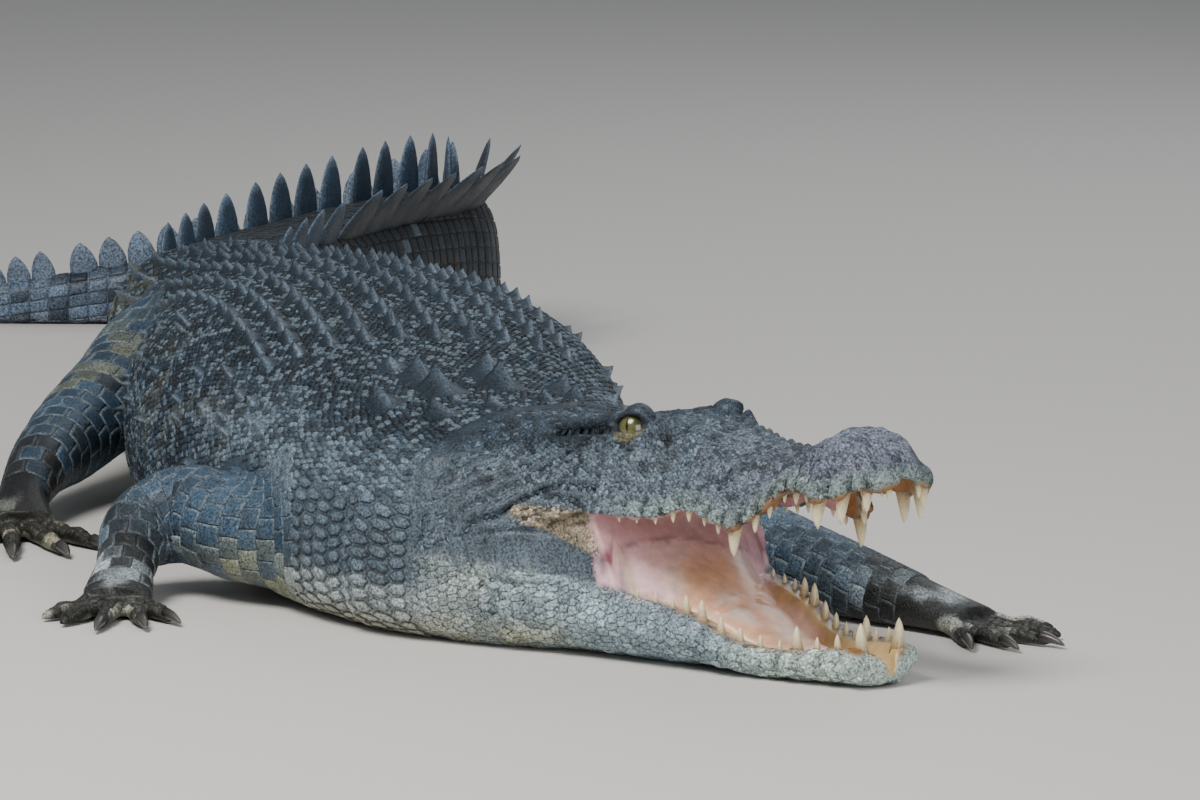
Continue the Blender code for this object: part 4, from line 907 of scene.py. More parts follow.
# %% Lining of the mouth
def flesh_material():
    """Wet lining of the mouth: painted colour with soft mottling, folds and a moist gloss."""
    material, tree, shader = new_material(
        "mouth_lining", Roughness=0.38, Subsurface_Weight=0.15, Subsurface_Radius=(0.012, 0.004, 0.002),
        Coat_Weight=0.3, Coat_Roughness=0.2)
    colour = node(tree, "Attribute", {"attribute_name": "tint"})
    place = node(tree, "TexCoord")
    mottle = node(tree, "TexNoise", {"Scale": 60.0, "Detail": 5.0, "Roughness": 0.6},
                  Vector=(place, "Object"))
    ramp = node(tree, "MapRange", {"From Min": 0.3, "From Max": 0.7, "To Min": 0.8, "To Max": 1.15},
                Value=(mottle, "Fac"))
    scaled = node(tree, "VectorMath", {"operation": "SCALE"}, i0=(colour, "Color"), i3=(ramp, 0))
    tree.links.new(scaled.outputs[0], shader.inputs["Base Color"])
    relief = node(tree, "Bump", {"Strength": 0.5, "Distance": 0.002}, Height=(mottle, "Fac"))
    tree.links.new(relief.outputs[0], shader.inputs["Normal"])
    return material


LINING = flesh_material()


def tint(mesh, colours):
    """Stores a colour for each vertex."""
    layer = mesh.color_attributes.new("tint", "FLOAT_COLOR", "POINT")
    values = np.column_stack([np.clip(colours, 0, 1), np.ones(len(colours))])
    layer.data.foreach_set("color", values.ravel().astype(np.float32))


# %% Join the skin
def join_meshes(meshes):
    """Points and faces of several meshes as one."""
    points, faces, start = [], [], 0
    for mesh in meshes:
        points.append(points_of(mesh))
        faces += [[v + start for v in face.vertices] for face in mesh.polygons]
        start += len(mesh.vertices)
    return np.concatenate(points), faces


SKIN_TRIANGLES = 190000
whole = make_piece("whole", *join_meshes([head_mesh, body_mesh, hand_mesh]))
thin = whole.modifiers.new("thin", "DECIMATE")
thin.ratio = SKIN_TRIANGLES / (2 * len(whole.data.polygons))
skin_mesh = evaluated(whole)
bpy.data.objects.remove(whole)
skin_mesh.name = "skin"
skin_mesh.materials.clear()
skin_mesh.materials.append(HIDE)
skin_mesh.materials.append(LINING)
skin_mesh.polygons.foreach_set("use_smooth", np.full(len(skin_mesh.polygons), True))
skin = bpy.data.objects.new("skin", skin_mesh)
bpy.context.scene.collection.objects.link(skin)
skin_colours, in_mouth = paint(points_of(skin.data), mouth=True)
tint(skin.data, skin_colours * (0.7 + 0.3 * in_mouth)[:, None])
skin_corners = np.empty(len(skin.data.loops), int)
skin.data.loops.foreach_get("vertex_index", skin_corners)
skin_starts, skin_sides = np.empty((2, len(skin.data.polygons)), int)
skin.data.polygons.foreach_get("loop_start", skin_starts)
skin.data.polygons.foreach_get("loop_total", skin_sides)
lined = np.add.reduceat(in_mouth[skin_corners], skin_starts) / skin_sides > 0.5
skin.data.polygons.foreach_set("material_index", lined.astype(int))
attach(skin, "root")
FLESH = [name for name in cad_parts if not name.startswith(("eye_", "tongue"))]
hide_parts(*FLESH)
print("skin has", sum(len(face.vertices) - 2 for face in skin.data.polygons), "triangles")

# %% [markdown]
# ## Scales
# A crocodile's scales are separate horny plates with soft skin between them. They run in rows: large keeled
# shields on the back, small grains on the flanks, square plates on the limbs and tail, and angular plates on
# the jaws. Each kind is laid out flat as a mosaic in real millimetres, along and around a part of the body,
# and every plate is then set on the skin with a Shrinkwrap and raised along the skin's own normal. Plates
# share their corners, which are moved a little, so that no two are alike.

# %% Charts of the body
class Chart:
    """A part of the surface measured in metres: u along it, and g around it from its middle line."""

    def __init__(self, grid, along, steps=240):
        run = np.concatenate([np.zeros((len(grid), 1)),
                              np.cumsum(np.linalg.norm(np.diff(grid, axis=1), axis=2), axis=1)], 1)
        self.along, self.half = along, run[:, -1] / 2
        share, middle = np.linspace(-1, 1, steps + 1), grid.shape[1] // 2
        rows = [np.where(share < 0, (share + 1) * r[middle], r[middle] + share * (r[-1] - r[middle]))
                for r in run]
        self.rows = np.stack([[np.interp(place, r, line[:, k]) for k in range(3)]
                              for place, line, r in zip(rows, grid, run)]).transpose(0, 2, 1)
        self.steps = steps

    def width(self, u):
        """Half of the way around at u."""
        return np.interp(u, self.along, self.half)

    def at(self, u, g):
        """The point u along and g around."""
        i = np.clip(np.interp(u, self.along, np.arange(len(self.along))), 0, len(self.along) - 1.001)
        j = np.clip((g / self.width(u) + 1) / 2 * self.steps, 0, self.steps - 0.001)
        a, b = i.astype(int), j.astype(int)
        p, q = (i - a)[..., None], (j - b)[..., None]
        rows = self.rows
        return ((rows[a, b] * (1 - q) + rows[a, b + 1] * q) * (1 - p)
                + (rows[a + 1, b] * (1 - q) + rows[a + 1, b + 1] * q) * p)

    def unwrap(self, u, g):
        """Where a place lies on a flat unwrap of this part, from 0 to 1."""
        first, last = self.along[0], self.along[-1]
        return np.stack([(u - first) / (last - first), (g / self.half.max() + 1) / 2], -1)


def chart_of(surface, first, last, pitch, angles):
    """A chart of a surface that is a function of the distance along it and the angle around it."""
    along = np.arange(first, last, pitch)
    u, angle = np.meshgrid(along, angles, indexing="ij")
    return Chart(surface(u, angle), along)


def fitted(chart, reach=0.045):
    """Brings the chart to the skin from outside along its own normals, and measures its width again, evened
    out along it; where no skin is in reach it stays."""
    grid = chart.rows
    normal = np.cross(np.gradient(grid, axis=0), np.gradient(grid, axis=1))
    normal *= np.sign(((grid - grid.mean(1, keepdims=True)) * normal).sum())
    normal /= np.linalg.norm(normal, axis=2, keepdims=True) + 1e-12
    out = grid + normal * reach
    rows, columns = grid.shape[:2]
    start = (np.arange(rows - 1)[:, None] * columns + np.arange(columns - 1)).ravel()
    squares = np.stack([start, start + 1, start + columns + 1, start + columns], 1)
    net = make_piece("net", out.reshape(-1, 3), squares)
    wrap = net.modifiers.new("wrap", "SHRINKWRAP")
    wrap.target, wrap.wrap_method, wrap.project_limit = skin, "PROJECT", reach * 1.9
    wrap.use_negative_direction = wrap.use_positive_direction = True
    mesh = evaluated(net)
    moved = points_of(mesh).reshape(grid.shape)
    bpy.data.objects.remove(net)
    bpy.data.meshes.remove(mesh)
    missed = np.linalg.norm(moved - out, axis=2) < 1e-6
    missed |= limb_share(moved.reshape(-1, 3))[0].reshape(missed.shape) > 0.3
    chart.rows = np.where(missed[..., None], grid, moved)
    around = np.linalg.norm(np.diff(chart.rows, axis=1), axis=2).sum(1) / 2
    around = np.minimum(around, chart.half * 1.25)
    chart.half = np.convolve(np.pad(around, 6, "edge"), np.full(13, 1 / 13), "valid")
    return chart


OVER_BACK = np.radians(np.linspace(-90, 270, 361))
trunk_chart = fitted(chart_of(spine_point, 0.0, 3.595, 0.01, OVER_BACK))
limb_charts = {limb: chart_of(surface, 0.0, length, 0.01, OVER_BACK)
               for limb, (surface, length) in TUBES.items()}
cranium_ahead = np.arange(-0.03, 0.616, 0.004)
skull_chart = Chart(cranium_grid(cranium_ahead)[:, :61], cranium_ahead)
jaw_along = np.arange(-0.03, 0.575, 0.004)
jaw_ring = mandible_grid(jaw_along)
jaw_chart = Chart(np.concatenate([jaw_ring[:, 17:], jaw_ring[:, :8]], 1), jaw_along)
print("half way round the trunk at its middle:", trunk_chart.width(0.8).round(3), "m")


# %% Flat mosaics
def wobble(corners, amount):
    """Moves each corner by a share that depends only on its place, so that neighbours stay joined."""
    key = np.round(corners * 20000)
    turn = np.sin(key @ np.array([12.9898, 78.233]) + SEED) * 43758.5453
    other = np.sin(key @ np.array([39.346, 11.135]) + SEED) * 24634.6345
    return corners + amount * (np.stack([turn % 1, other % 1], -1) - 0.5)


def mosaic(u_range, g_range, pitch, shift, offsets, jitter):
    """Centres and corners of cells that fill a strip; shift sets each row off from the last."""
    i, j = [np.arange(math.floor(low / size), math.ceil(high / size) + 1)
            for (low, high), size in zip((u_range, g_range), pitch)]
    i, j = [v.ravel() for v in np.meshgrid(i, j, indexing="ij")]
    centre = np.column_stack([i * pitch[0], (j + shift * (i % 2)) * pitch[1]])
    return centre, wobble(centre[:, None] + offsets, np.array(pitch) * jitter)


def six_sided(u_range, g_range, pitch_u, pitch_g, jitter=0.35):
    """A mosaic of six-sided cells."""
    offsets = np.array([(2, 0), (1, 1), (-1, 1), (-2, 0), (-1, -1), (1, -1)]) * (pitch_u / 3, pitch_g / 2)
    return mosaic(u_range, g_range, (pitch_u, pitch_g), 0.5, offsets, jitter)


def four_sided(u_range, g_range, pitch_u, pitch_g, jitter=0.18, shift=0.5):
    """A mosaic of bricks, with a corner in the middle of each side too."""
    offsets = np.array([(-1, -1), (0, -1), (1, -1), (1, 0), (1, 1), (0, 1), (-1, 1), (-1, 0)]) * (
        pitch_u / 2, pitch_g / 2)
    return mosaic(u_range, g_range, (pitch_u, pitch_g), shift, offsets, jitter)


# %% Plates on the skin
def snapped(points, lift):
    """The points moved to the nearest place on the skin, and then a lift above it."""
    cloud = make_piece("cloud", points, [])
    wrap = cloud.modifiers.new("wrap", "SHRINKWRAP")
    wrap.target, wrap.offset = skin, lift
    wrap.wrap_method, wrap.wrap_mode = "NEAREST_SURFACEPOINT", "ABOVE_SURFACE"
    mesh = evaluated(cloud)
    moved = points_of(mesh)
    bpy.data.objects.remove(cloud)
    bpy.data.meshes.remove(mesh)
    return moved


def seated(points, count, lift):
    """Where count groups of points meet the skin, and the way out of the skin at each group."""
    low, high = snapped(points, 0.0), snapped(points, lift)
    normal = (high - low).reshape(count, -1, 3).mean(1, keepdims=True)
    normal /= np.linalg.norm(normal, axis=2, keepdims=True)
    return low.reshape(count, -1, 3), normal


def plates(name, chart, cells, keep=None, height=0.0018, gap=0.10, crown=0.5, edge=None,
           edge_share=0.5, groove_shade=0.5, speckle=(0.0, 0.0), on_limb=None):
    """Solid plates over the skin. Each has a skirt sunk in the skin, a rim, a shoulder and a crowned top.
    edge colours the rim, less so on dark plates, the skirt is darkened by a factor as painted shade on the
    plates' sunken sides in the grooves between them, speckle is the share of pale plates and of dark ones,
    and on_limb keeps only the plates that lie on a limb, or only those that do not."""
    centre, corners = cells
    inside = np.abs(centre[:, 1]) < chart.width(centre[:, 0])
    inside &= (centre[:, 0] > chart.along[0]) & (centre[:, 0] < chart.along[-1])
    if keep is not None:
        inside &= keep(centre[:, 0], centre[:, 1])
    centre, corners = centre[inside], corners[inside]
    far = np.linalg.norm(chart.at(corners[..., 0], corners[..., 1])
                         - chart.at(centre[:, :1], centre[:, 1:]), axis=2).max(1)
    even = far < 1.9 * np.linalg.norm(corners - centre[:, None], axis=2).max(1)
    centre, corners = centre[even], corners[even]
    if on_limb is not None:
        share = limb_share(chart.at(centre[:, 0], centre[:, 1]))[0] > 0.5
        centre, corners = centre[share == on_limb], corners[share == on_limb]
    count, sides = corners.shape[:2]
    spread = corners - centre[:, None]
    flat = np.concatenate([centre[:, None] + spread * (1 - gap * 0.6), centre[:, None] + spread * (1 - gap),
                           centre[:, None] + spread * (1 - gap) * 0.72, centre[:, None]], 1)
    low, normal = seated(chart.at(flat[..., 0], flat[..., 1]).reshape(-1, 3), count, 0.004)
    rng = np.random.default_rng(SEED + count)
    tall = height * rng.uniform(0.75, 1.2, (count, 1))
    rise = np.concatenate([np.full((count, sides), -0.0012), np.repeat(tall * (1 - crown), sides, 1),
                           np.repeat(tall * (1 - crown * 0.25), sides, 1), tall], 1)
    points = low + normal * rise[..., None]
    points[..., 2] = np.maximum(points[..., 2], 0.0004)
    per = 3 * sides + 1
    ring = np.arange(sides)
    after = (ring + 1) % sides
    faces = [np.stack([ring + k * sides, after + k * sides, after + (k + 1) * sides], 1) for k in (0, 1)]
    faces += [np.stack([ring + k * sides, after + (k + 1) * sides, ring + (k + 1) * sides], 1)
              for k in (0, 1)]
    faces += [np.stack([ring + 2 * sides, after + 2 * sides, np.full(sides, per - 1)], 1)]
    face = np.concatenate(faces)
    if np.cross(spread[0, 0], spread[0, 1]) * orientation(chart) < 0:
        face = face[:, ::-1]
    all_faces = (face[None] + np.arange(count)[:, None, None] * per).reshape(-1, 3)
    colour = paint(points[:, -1]).repeat(per, 0).reshape(count, per, 3)
    pick = rng.random((count, 1, 1))
    colour = colour * rng.uniform(0.75, 1.25, (count, 1, 1))
    colour += (PALE - colour) * 0.38 * (pick < speckle[0])
    colour += (DARK - colour) * 0.60 * (pick > 1 - speckle[1])
    if edge is not None:
        clean = np.clip(colour.mean(2, keepdims=True) / 0.045, 0.0, 1) * edge_share
        colour[:, :2 * sides] += ((edge - colour) * clean)[:, :2 * sides]
    # Painted shade: the skirt ring, the plates' sides down in the grooves between them, is darkened by a
    # factor.
    colour[:, :sides] *= groove_shade
    piece = make_piece(name, points.reshape(-1, 3), all_faces, HIDE)
    tint(piece.data, colour.reshape(-1, 3))
    place = chart.unwrap(centre[:, 0], centre[:, 1])
    bake_patches(piece.data, place, flat - centre[:, None], all_faces, per)
    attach(piece, "root")
    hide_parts(*FLESH)
    print(name, count, "plates,", len(all_faces), "triangles")
    return piece


def orientation(chart):
    """1 where u, g and the outward normal of a chart are right-handed, else -1."""
    u, g = chart.along[len(chart.along) // 2], 0.0
    a, b, c = chart.at(np.array([u, u + 0.01, u]), np.array([g, g, 0.01]))
    middle = chart.rows[len(chart.rows) // 2].mean(0)
    return np.sign(np.cross(b - a, c - a) @ (a - middle))


PATCH = 0.003


def bake_patches(mesh, place, spread, faces, per):
    """Gives each plate its own small patch at its place on the unwrap of the skin."""
    reach = np.abs(spread).max(axis=(1, 2), keepdims=True)
    uv = (place[:, None] + spread / reach * PATCH / 2).reshape(-1, 2)
    layer = mesh.uv_layers.new(name="OFBake")
    layer.uv.foreach_set("vector", np.clip(uv, 0, 1)[faces.ravel()].ravel().astype(np.float32))


# %% Grains and plates of the trunk
def trunk_side(low, high, first, last):
    """Keeps cells between two shares of the way from the back's middle to the belly's middle."""
    def keep(u, g):
        share = np.abs(g) / trunk_chart.width(u)
        return (share >= low) & (share < high) & (u > first) & (u < last)
    return keep


def tiles_start(u):
    """Where the tiles of the neck start, as a share of the way down its side."""
    return np.interp(u, [0.26, 0.40], [0.40, 0.66])


def flank_side(sign, first, last):
    """Keeps the grains of a length of one flank; on the neck they reach only a little way down."""
    def keep(u, g):
        share = np.abs(g) / trunk_chart.width(u)
        return (g * sign > 0) & (u >= first) & (u < last) & (share < tiles_start(u))
    return keep


def neck_tiles(u, g):
    """Keeps the tiles below the grains of the neck."""
    share = np.abs(g) / trunk_chart.width(u)
    return (u < 0.34) & (share >= tiles_start(u))


for name, sign, first, last in (("left_front", 1, 0.02, 0.86), ("right_front", -1, 0.02, 0.86),
                                ("left_rear", 1, 0.86, 1.60), ("right_rear", -1, 0.86, 1.60)):
    plates("grains_" + name, trunk_chart, six_sided((0.0, 1.62), (-0.6, 0.6), 0.0094, 0.0090, 0.5),
           flank_side(sign, first, last), height=0.0026, gap=0.16, crown=0.8, speckle=(0.30, 0.30),
           on_limb=False)
plates("plates_belly", trunk_chart, four_sided((0.1, 1.7), (-0.6, 0.6), 0.030, 0.025, 0.08), height=0.0016,
       gap=0.07, keep=trunk_side(0.66, 1.0, 0.34, 1.60), crown=0.3, edge=DARK,
       edge_share=0.4, on_limb=False)
plates("plates_neck", trunk_chart, six_sided((0.0, 0.4), (-0.6, 0.6), 0.0185, 0.0165, 0.22), height=0.0030,
       gap=0.20, keep=neck_tiles, crown=0.55, edge=DARK, edge_share=0.75, on_limb=False)
plates("plates_tail", trunk_chart, four_sided((1.6, 3.6), (-0.4, 0.4), 0.0283, 0.021, 0.06, 0.0),
       height=0.0020, gap=0.10, keep=trunk_side(0.0, 1.0, 1.60, 3.6), crown=0.3, speckle=(0.04, 0.3))


# %% Grains and plates of the head and limbs
def off_lids(u, g):
    """Keeps the grains of the skull off the lids, which are bare skin."""
    place = skull_chart.at(u, g)
    return np.min([np.linalg.norm(place - eye_frame(side)[0], axis=1) for side in (1, -1)], axis=0) > 0.0275


plates("grains_skull", skull_chart, six_sided((-0.03, 0.62), (-0.3, 0.3), 0.0066, 0.0064, 0.5), height=0.0009,
       gap=0.12, keep=lambda u, g: (u < 0.30) & off_lids(u, g), crown=0.8, speckle=(0.10, 0.22))
plates("grains_snout", skull_chart, six_sided((-0.03, 0.62), (-0.3, 0.3), 0.0060, 0.0058, 0.5), height=0.0007,
       gap=0.12, keep=lambda u, g: u >= 0.30, crown=0.8, speckle=(0.10, 0.18))
plates("plates_jaw", jaw_chart, six_sided((-0.03, 0.6), (-0.3, 0.3), 0.0140, 0.0135, 0.4), height=0.0010,
       gap=0.06, crown=0.3, edge=linear("#5f6a70"), edge_share=0.5, groove_shade=0.35)
for limb, chart in limb_charts.items():
    size = 0.024 if limb.startswith("arm") else 0.029
    plates("plates_" + limb, chart, four_sided((0, 0.6), (-0.4, 0.4), size, size * 1.15, 0.10, 0.5),
           keep=lambda u, g, length=chart.along[-1]: (u > length * 0.14) & (u < length * 0.97), gap=0.05,
           height=0.0022, crown=0.25, edge=LINE, edge_share=0.35, groove_shade=0.8, on_limb=True)
for limb in LIMBS:
    for i, root, way, length, radius in toe_paths(limb):
        toe_chart = chart_of(lambda u, around: toe_point(root, way, length, radius, u / length, around),
                             length * 0.25, length * 0.93, 0.004, np.radians(np.linspace(-10, 190, 61)))
        wide = toe_chart.half.mean() * 0.64
        bands = four_sided((0, length), (-0.04, 0.04), 0.0115, wide, 0.08, 0.0)
        plates(f"bands_{limb}_toe_{i}", toe_chart, bands, height=0.0013, gap=0.10, crown=0.5)


# %% [markdown]
# ## Shields of the back
# Under each large scale of the back lies a bone, and its keel shows as a sharp ridge that is highest at the
# rear. They lie in cross rows of ten from the shoulders to the hips, six pairs stand on the nape, and smaller
# ones are strewn over the flanks.

# %% Keeled shields
# Pale blue-grey of the painted highlight along the keels of the shields.
KEEL_HIGHLIGHT = linear("#8294a6")
# Shields of the nape: distance along the spine, offset, size and height.
NAPE = [(0.070, 0.100, 0.050, 0.022), (0.170, 0.040, 0.080, 0.032), (0.165, 0.118, 0.060, 0.026),
        (0.240, 0.042, 0.076, 0.028), (0.045, 0.040, 0.036, 0.014), (0.310, 0.060, 0.050, 0.012)]
BACK_ROWS, BACK_PITCH, BACK_FIRST = 18, 0.060, 0.46
BACK_OFFSETS = (0.022, 0.066, 0.110, 0.152, 0.192)
FLANK_SHIELDS, SHIELD_POINTS = 70, 9


def shield_list():
    """Place along and around, length, width and height of every keeled shield."""
    rng = np.random.default_rng(SEED)
    made = [(s, side * g, size, size * 0.9, height) for s, g, size, height in NAPE for side in (1, -1)]
    for row in range(BACK_ROWS):
        s = BACK_FIRST + row * BACK_PITCH
        for place, g in enumerate(BACK_OFFSETS):
            squeeze = min(1, (1.75 - s) / 0.6)
            for side in (1, -1):
                made.append((s + rng.uniform(-0.004, 0.004), side * g * (0.55 + 0.45 * squeeze),
                             BACK_PITCH * 0.80, 0.030 * (0.6 + 0.4 * squeeze),
                             0.018 - 0.001 * place + rng.uniform(-0.004, 0.003)))
    for _ in range(FLANK_SHIELDS):
        s, g = rng.uniform(0.30, 1.45), rng.uniform(0.23, 0.38) * rng.choice([-1, 1])
        made.append((s, g, 0.034, 0.022, rng.uniform(0.008, 0.016)))
    made = np.array(made)
    return made[limb_share(trunk_chart.at(made[:, 0], made[:, 1]))[0] < 0.2]


def shields(name, chart, rows):
    """Each shield is a small grid on the skin, raised to a keel that peaks towards its rear."""
    line, per = np.linspace(-1, 1, SHIELD_POINTS), SHIELD_POINTS**2
    x, y = [v.ravel() for v in np.meshgrid(line, line, indexing="ij")]
    u = rows[:, :1] + x * rows[:, 2:3] / 2
    g = rows[:, 1:2] + y * rows[:, 3:4] / 2
    low, normal = seated(chart.at(u, g).reshape(-1, 3), len(rows), 0.006)
    edge = np.clip(1.02 - np.maximum(np.abs(x), np.abs(y))**4, 0, 1)
    along = np.interp(x, [-1, 0.55, 1], [0.05, 1, 0.25])
    ridge = np.clip(1 - np.abs(y) / 0.95, 0, 1)**2.2
    rise = (0.0024 * edge + rows[:, 4:5] * ridge * along * edge)
    rise[:, (np.maximum(np.abs(x), np.abs(y)) > 0.99)] = -0.002
    points = low + normal * rise[..., None]
    i, j = [v.ravel() for v in np.indices((SHIELD_POINTS - 1, SHIELD_POINTS - 1))]
    k = i * SHIELD_POINTS + j
    face = np.stack([k, k + SHIELD_POINTS, k + SHIELD_POINTS + 1, k + 1], 1)
    faces = (face[None] + np.arange(len(rows))[:, None, None] * per).reshape(-1, 4)
    colour = paint(points[:, per // 2]).repeat(per, 0).reshape(len(rows), per, 3) * 0.8
    # Painted highlight: a pale streak along the front of each keel's ridge, weaker on the tallest shields.
    keel_highlight = (ridge**2 * (x < 0.3) * (x > -0.9))[None, :, None]
    keel_highlight = keel_highlight * np.clip(0.9 - rows[:, 4:5, None] / 0.030, 0.22, 0.5)
    colour = colour + (KEEL_HIGHLIGHT - colour) * keel_highlight
    piece = make_piece(name, points.reshape(-1, 3), faces, HIDE)
    tint(piece.data, colour.reshape(-1, 3))
    spread = np.stack([x, y], 1)[None].repeat(len(rows), 0)
    bake_patches(piece.data, chart.unwrap(rows[:, 0], rows[:, 1]), spread, faces, per)
    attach(piece, "root")
    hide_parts(*FLESH)
    print(name, len(rows), "shields")


shields("shields_back", trunk_chart, shield_list())

# %% [markdown]
# ## Crest of the tail
# Two rows of upright, leaf-shaped scales run back along the tail, lean outward, meet, and go on as one row
# to the tip. Each is a thin lens in section, swept back, and taller towards the place where the rows meet.

# %% Fins
# Lengths of the tail that carry fins.
SPINE_PIECES = [(1.52, 1.86), (1.86, 2.20), (2.20, 2.52), (2.52, 2.82), (2.82, 3.22), (3.22, 3.60)]
# Distance along the spine, height, twist to the left, lean of the rows apart, offset from the middle.
CREST = [
    (1.52, 0.034, 0.06, 0.15, 0.078), (1.86, 0.062, 0.16, 0.28, 0.068),
    (2.20, 0.085, 0.40, 0.42, 0.056), (2.42, 0.095, 0.42, 0.42, 0.042),
    (2.60, 0.080, 0.12, 0.10, 0.010), (2.90, 0.050, 0.00, 0.05, 0.000),
    (3.30, 0.034, 0.00, 0.00, 0.000), (3.60, 0.010, 0.00, 0.00, 0.000),
]
FIN_MERGE = 0.016  # rows closer to the middle than this go on as one
FIN_RINGS, FIN_SIDES = 10, 14
# Colours of the fins: blue body, a pale painted highlight for their rims, a near-black painted shade for the
# undersides of the near row, and pale grey near the end of the tail.
FIN_BLUE, FIN_RIM_HIGHLIGHT, FIN_NEAR_SHADE, FIN_PALE = [
    linear(code) for code in ("#2e4154", "#73869a", "#0e1215", "#7c8b9e")]
FIN_PITCH = [(1.52, 0.085), (2.10, 0.085), (2.60, 0.060), (3.00, 0.045), (3.60, 0.034)]


def fin_list():
    """Place, offset, lean, height and pitch of every fin, as the CAD model has them."""
    rows = []
    for start, end in SPINE_PIECES:
        count = max(2, round((end - start) / smooth(FIN_PITCH, (start + end) / 2)[0]))
        pitch = (end - start - 0.020) / count
        for i in range(count):
            s = start + 0.010 + pitch * (i + 0.5)
            height, twist, spread, offset = smooth(CREST, s)
            for side in ((1, -1) if offset > FIN_MERGE else (0,)):
                rows.append((s, side * offset, twist + side * spread, height, pitch))
    return np.array(rows)


def build_crest(rows):
    """Every fin is a stack of lens-shaped sections from its root in the tail to its swept tip."""
    s, offset, lean, height, pitch = rows.T[..., None, None]
    half, top, widest, square = np.moveaxis(smooth(BODY, s), -1, 0)
    share = np.minimum(np.abs(offset) / half, 0.98)
    sink = np.minimum(0.014, top / 3)
    seat = widest + (top - widest) * (1 - share**(2 / square))**(square / 2) - sink
    ahead = smooth(SPINE, s + 0.004) - smooth(SPINE, s - 0.004)
    ahead /= np.linalg.norm(ahead, axis=-1)[..., None]
    zero = np.zeros_like(ahead[..., :1])
    back = np.concatenate([ahead, zero], -1)
    side = np.concatenate([ahead[..., 1:], -ahead[..., :1], zero], -1)
    root = np.concatenate([smooth(SPINE, s), seat[..., None]], -1) + side * offset[..., None]
    out = side * lean[..., None] + np.array([0, 0, 1])
    out /= np.linalg.norm(out, axis=-1)[..., None]
    rise, turn = ring_grid(np.linspace(0, 1, FIN_RINGS), FIN_SIDES)
    per = FIN_RINGS * FIN_SIDES
    leaf = np.interp(rise, [0, 0.2, 0.45, 0.7, 0.88, 1], [0.90, 1.0, 0.95, 0.72, 0.42, 0.06])
    near_row = (offset > FIN_MERGE) & (s > 1.9)
    length = pitch * np.where(near_row, 0.72, 0.50) * leaf * np.cos(turn)
    thick = np.minimum(0.015, half * 1.1) / 2 * (1 - rise)**0.5 * np.sin(turn) * (1 + 0.2 * np.cos(turn * 6))
    sweep = pitch * np.where(near_row, 0.55, 0.16) * rise**1.5
    points = (root + out * ((height * 0.93 + sink) * rise)[..., None] + back * (length + sweep)[..., None]
              + side * (thick + 0.0003 * np.sin(turn))[..., None])
    flat, faces = solid(points)
    # Painted highlight: the tops and edges of the fins are made paler.
    rim = np.maximum(step(rise.ravel(), 0.75, 1.0), np.abs(np.cos(turn.ravel()))**6 * 0.8)
    colour = mix(np.tile(FIN_BLUE, (per, 1)), FIN_RIM_HIGHLIGHT, 0.65 * rim)
    colour = mix(colour, DARK, 0.5 * (1 - step(rise.ravel(), 0.0, 0.35)))
    colour = colour[None] * np.random.default_rng(SEED).uniform(0.7, 1.25, (len(rows), 1, 1))
    # Painted shade: the near row, which leans outward, is made near black except at its rims.
    colour = colour + (FIN_NEAR_SHADE - colour) * 0.75 * near_row * (1 - 0.8 * rim[None, :, None]**3)
    pale = step(rows[:, 0], 2.5, 2.8)[:, None, None]
    colour = colour + (FIN_PALE - colour) * 0.6 * pale
    piece = make_piece("crest", flat, faces, HIDE)
    tint(piece.data, colour.reshape(-1, 3))
    corners = np.array([v for face in faces for v in face])
    spread = np.stack([np.cos(turn), rise * 2 - 1], -1).reshape(1, -1, 2).repeat(len(rows), 0)
    bake_patches(piece.data, trunk_chart.unwrap(rows[:, 0], rows[:, 1]), spread, corners, per)
    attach(piece, "root")
    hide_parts(*[n for n in FLESH if n.startswith("tail")])
    print("crest of", len(rows), "fins")


build_crest(fin_list())

# %% [markdown]
# ## Teeth and claws
# A crocodile's teeth are stout cones, a little curved inward, ivory at the point and stained brown at the
# gum. The claws of the three inner toes are dark horn. Both are stacks of rings along a bent line.

# %% Horn and ivory
def horn_material(name, tip, root, roughness, coat):
    """Polished ivory or horn: one colour at the root and another at the tip, with fine streaks."""
    material, tree, shader = new_material(name, Roughness=roughness, Coat_Weight=coat)
    share = node(tree, "Attribute", {"attribute_name": "share"})
    place = node(tree, "TexCoord")
    streak = node(tree, "TexNoise", {"Scale": 420.0, "Detail": 3.0}, Vector=(place, "Object"))
    shifted = node(tree, "Math", {"operation": "MULTIPLY_ADD", 1: 0.45}, i0=(streak, "Fac"),
                   i2=(share, "Fac"))
    ramp = node(tree, "ValToRGB", {}, Fac=(shifted, 0))
    ramp.color_ramp.elements[0].position, ramp.color_ramp.elements[1].position = 0.30, 0.95
    ramp.color_ramp.elements[0].color = (*linear(root), 1)
    ramp.color_ramp.elements[1].color = (*linear(tip), 1)
    tree.links.new(ramp.outputs[0], shader.inputs["Base Color"])
    relief = node(tree, "Bump", {"Strength": 0.3, "Distance": 0.0005}, Height=(streak, "Fac"))
    tree.links.new(relief.outputs[0], shader.inputs["Normal"])
    return material


IVORY = horn_material("tooth_ivory", "#e6d9b2", "#86662f", 0.32, 0.30)
HORN = horn_material("claw_horn", "#4a4640", "#1c1a18", 0.40, 0.2)


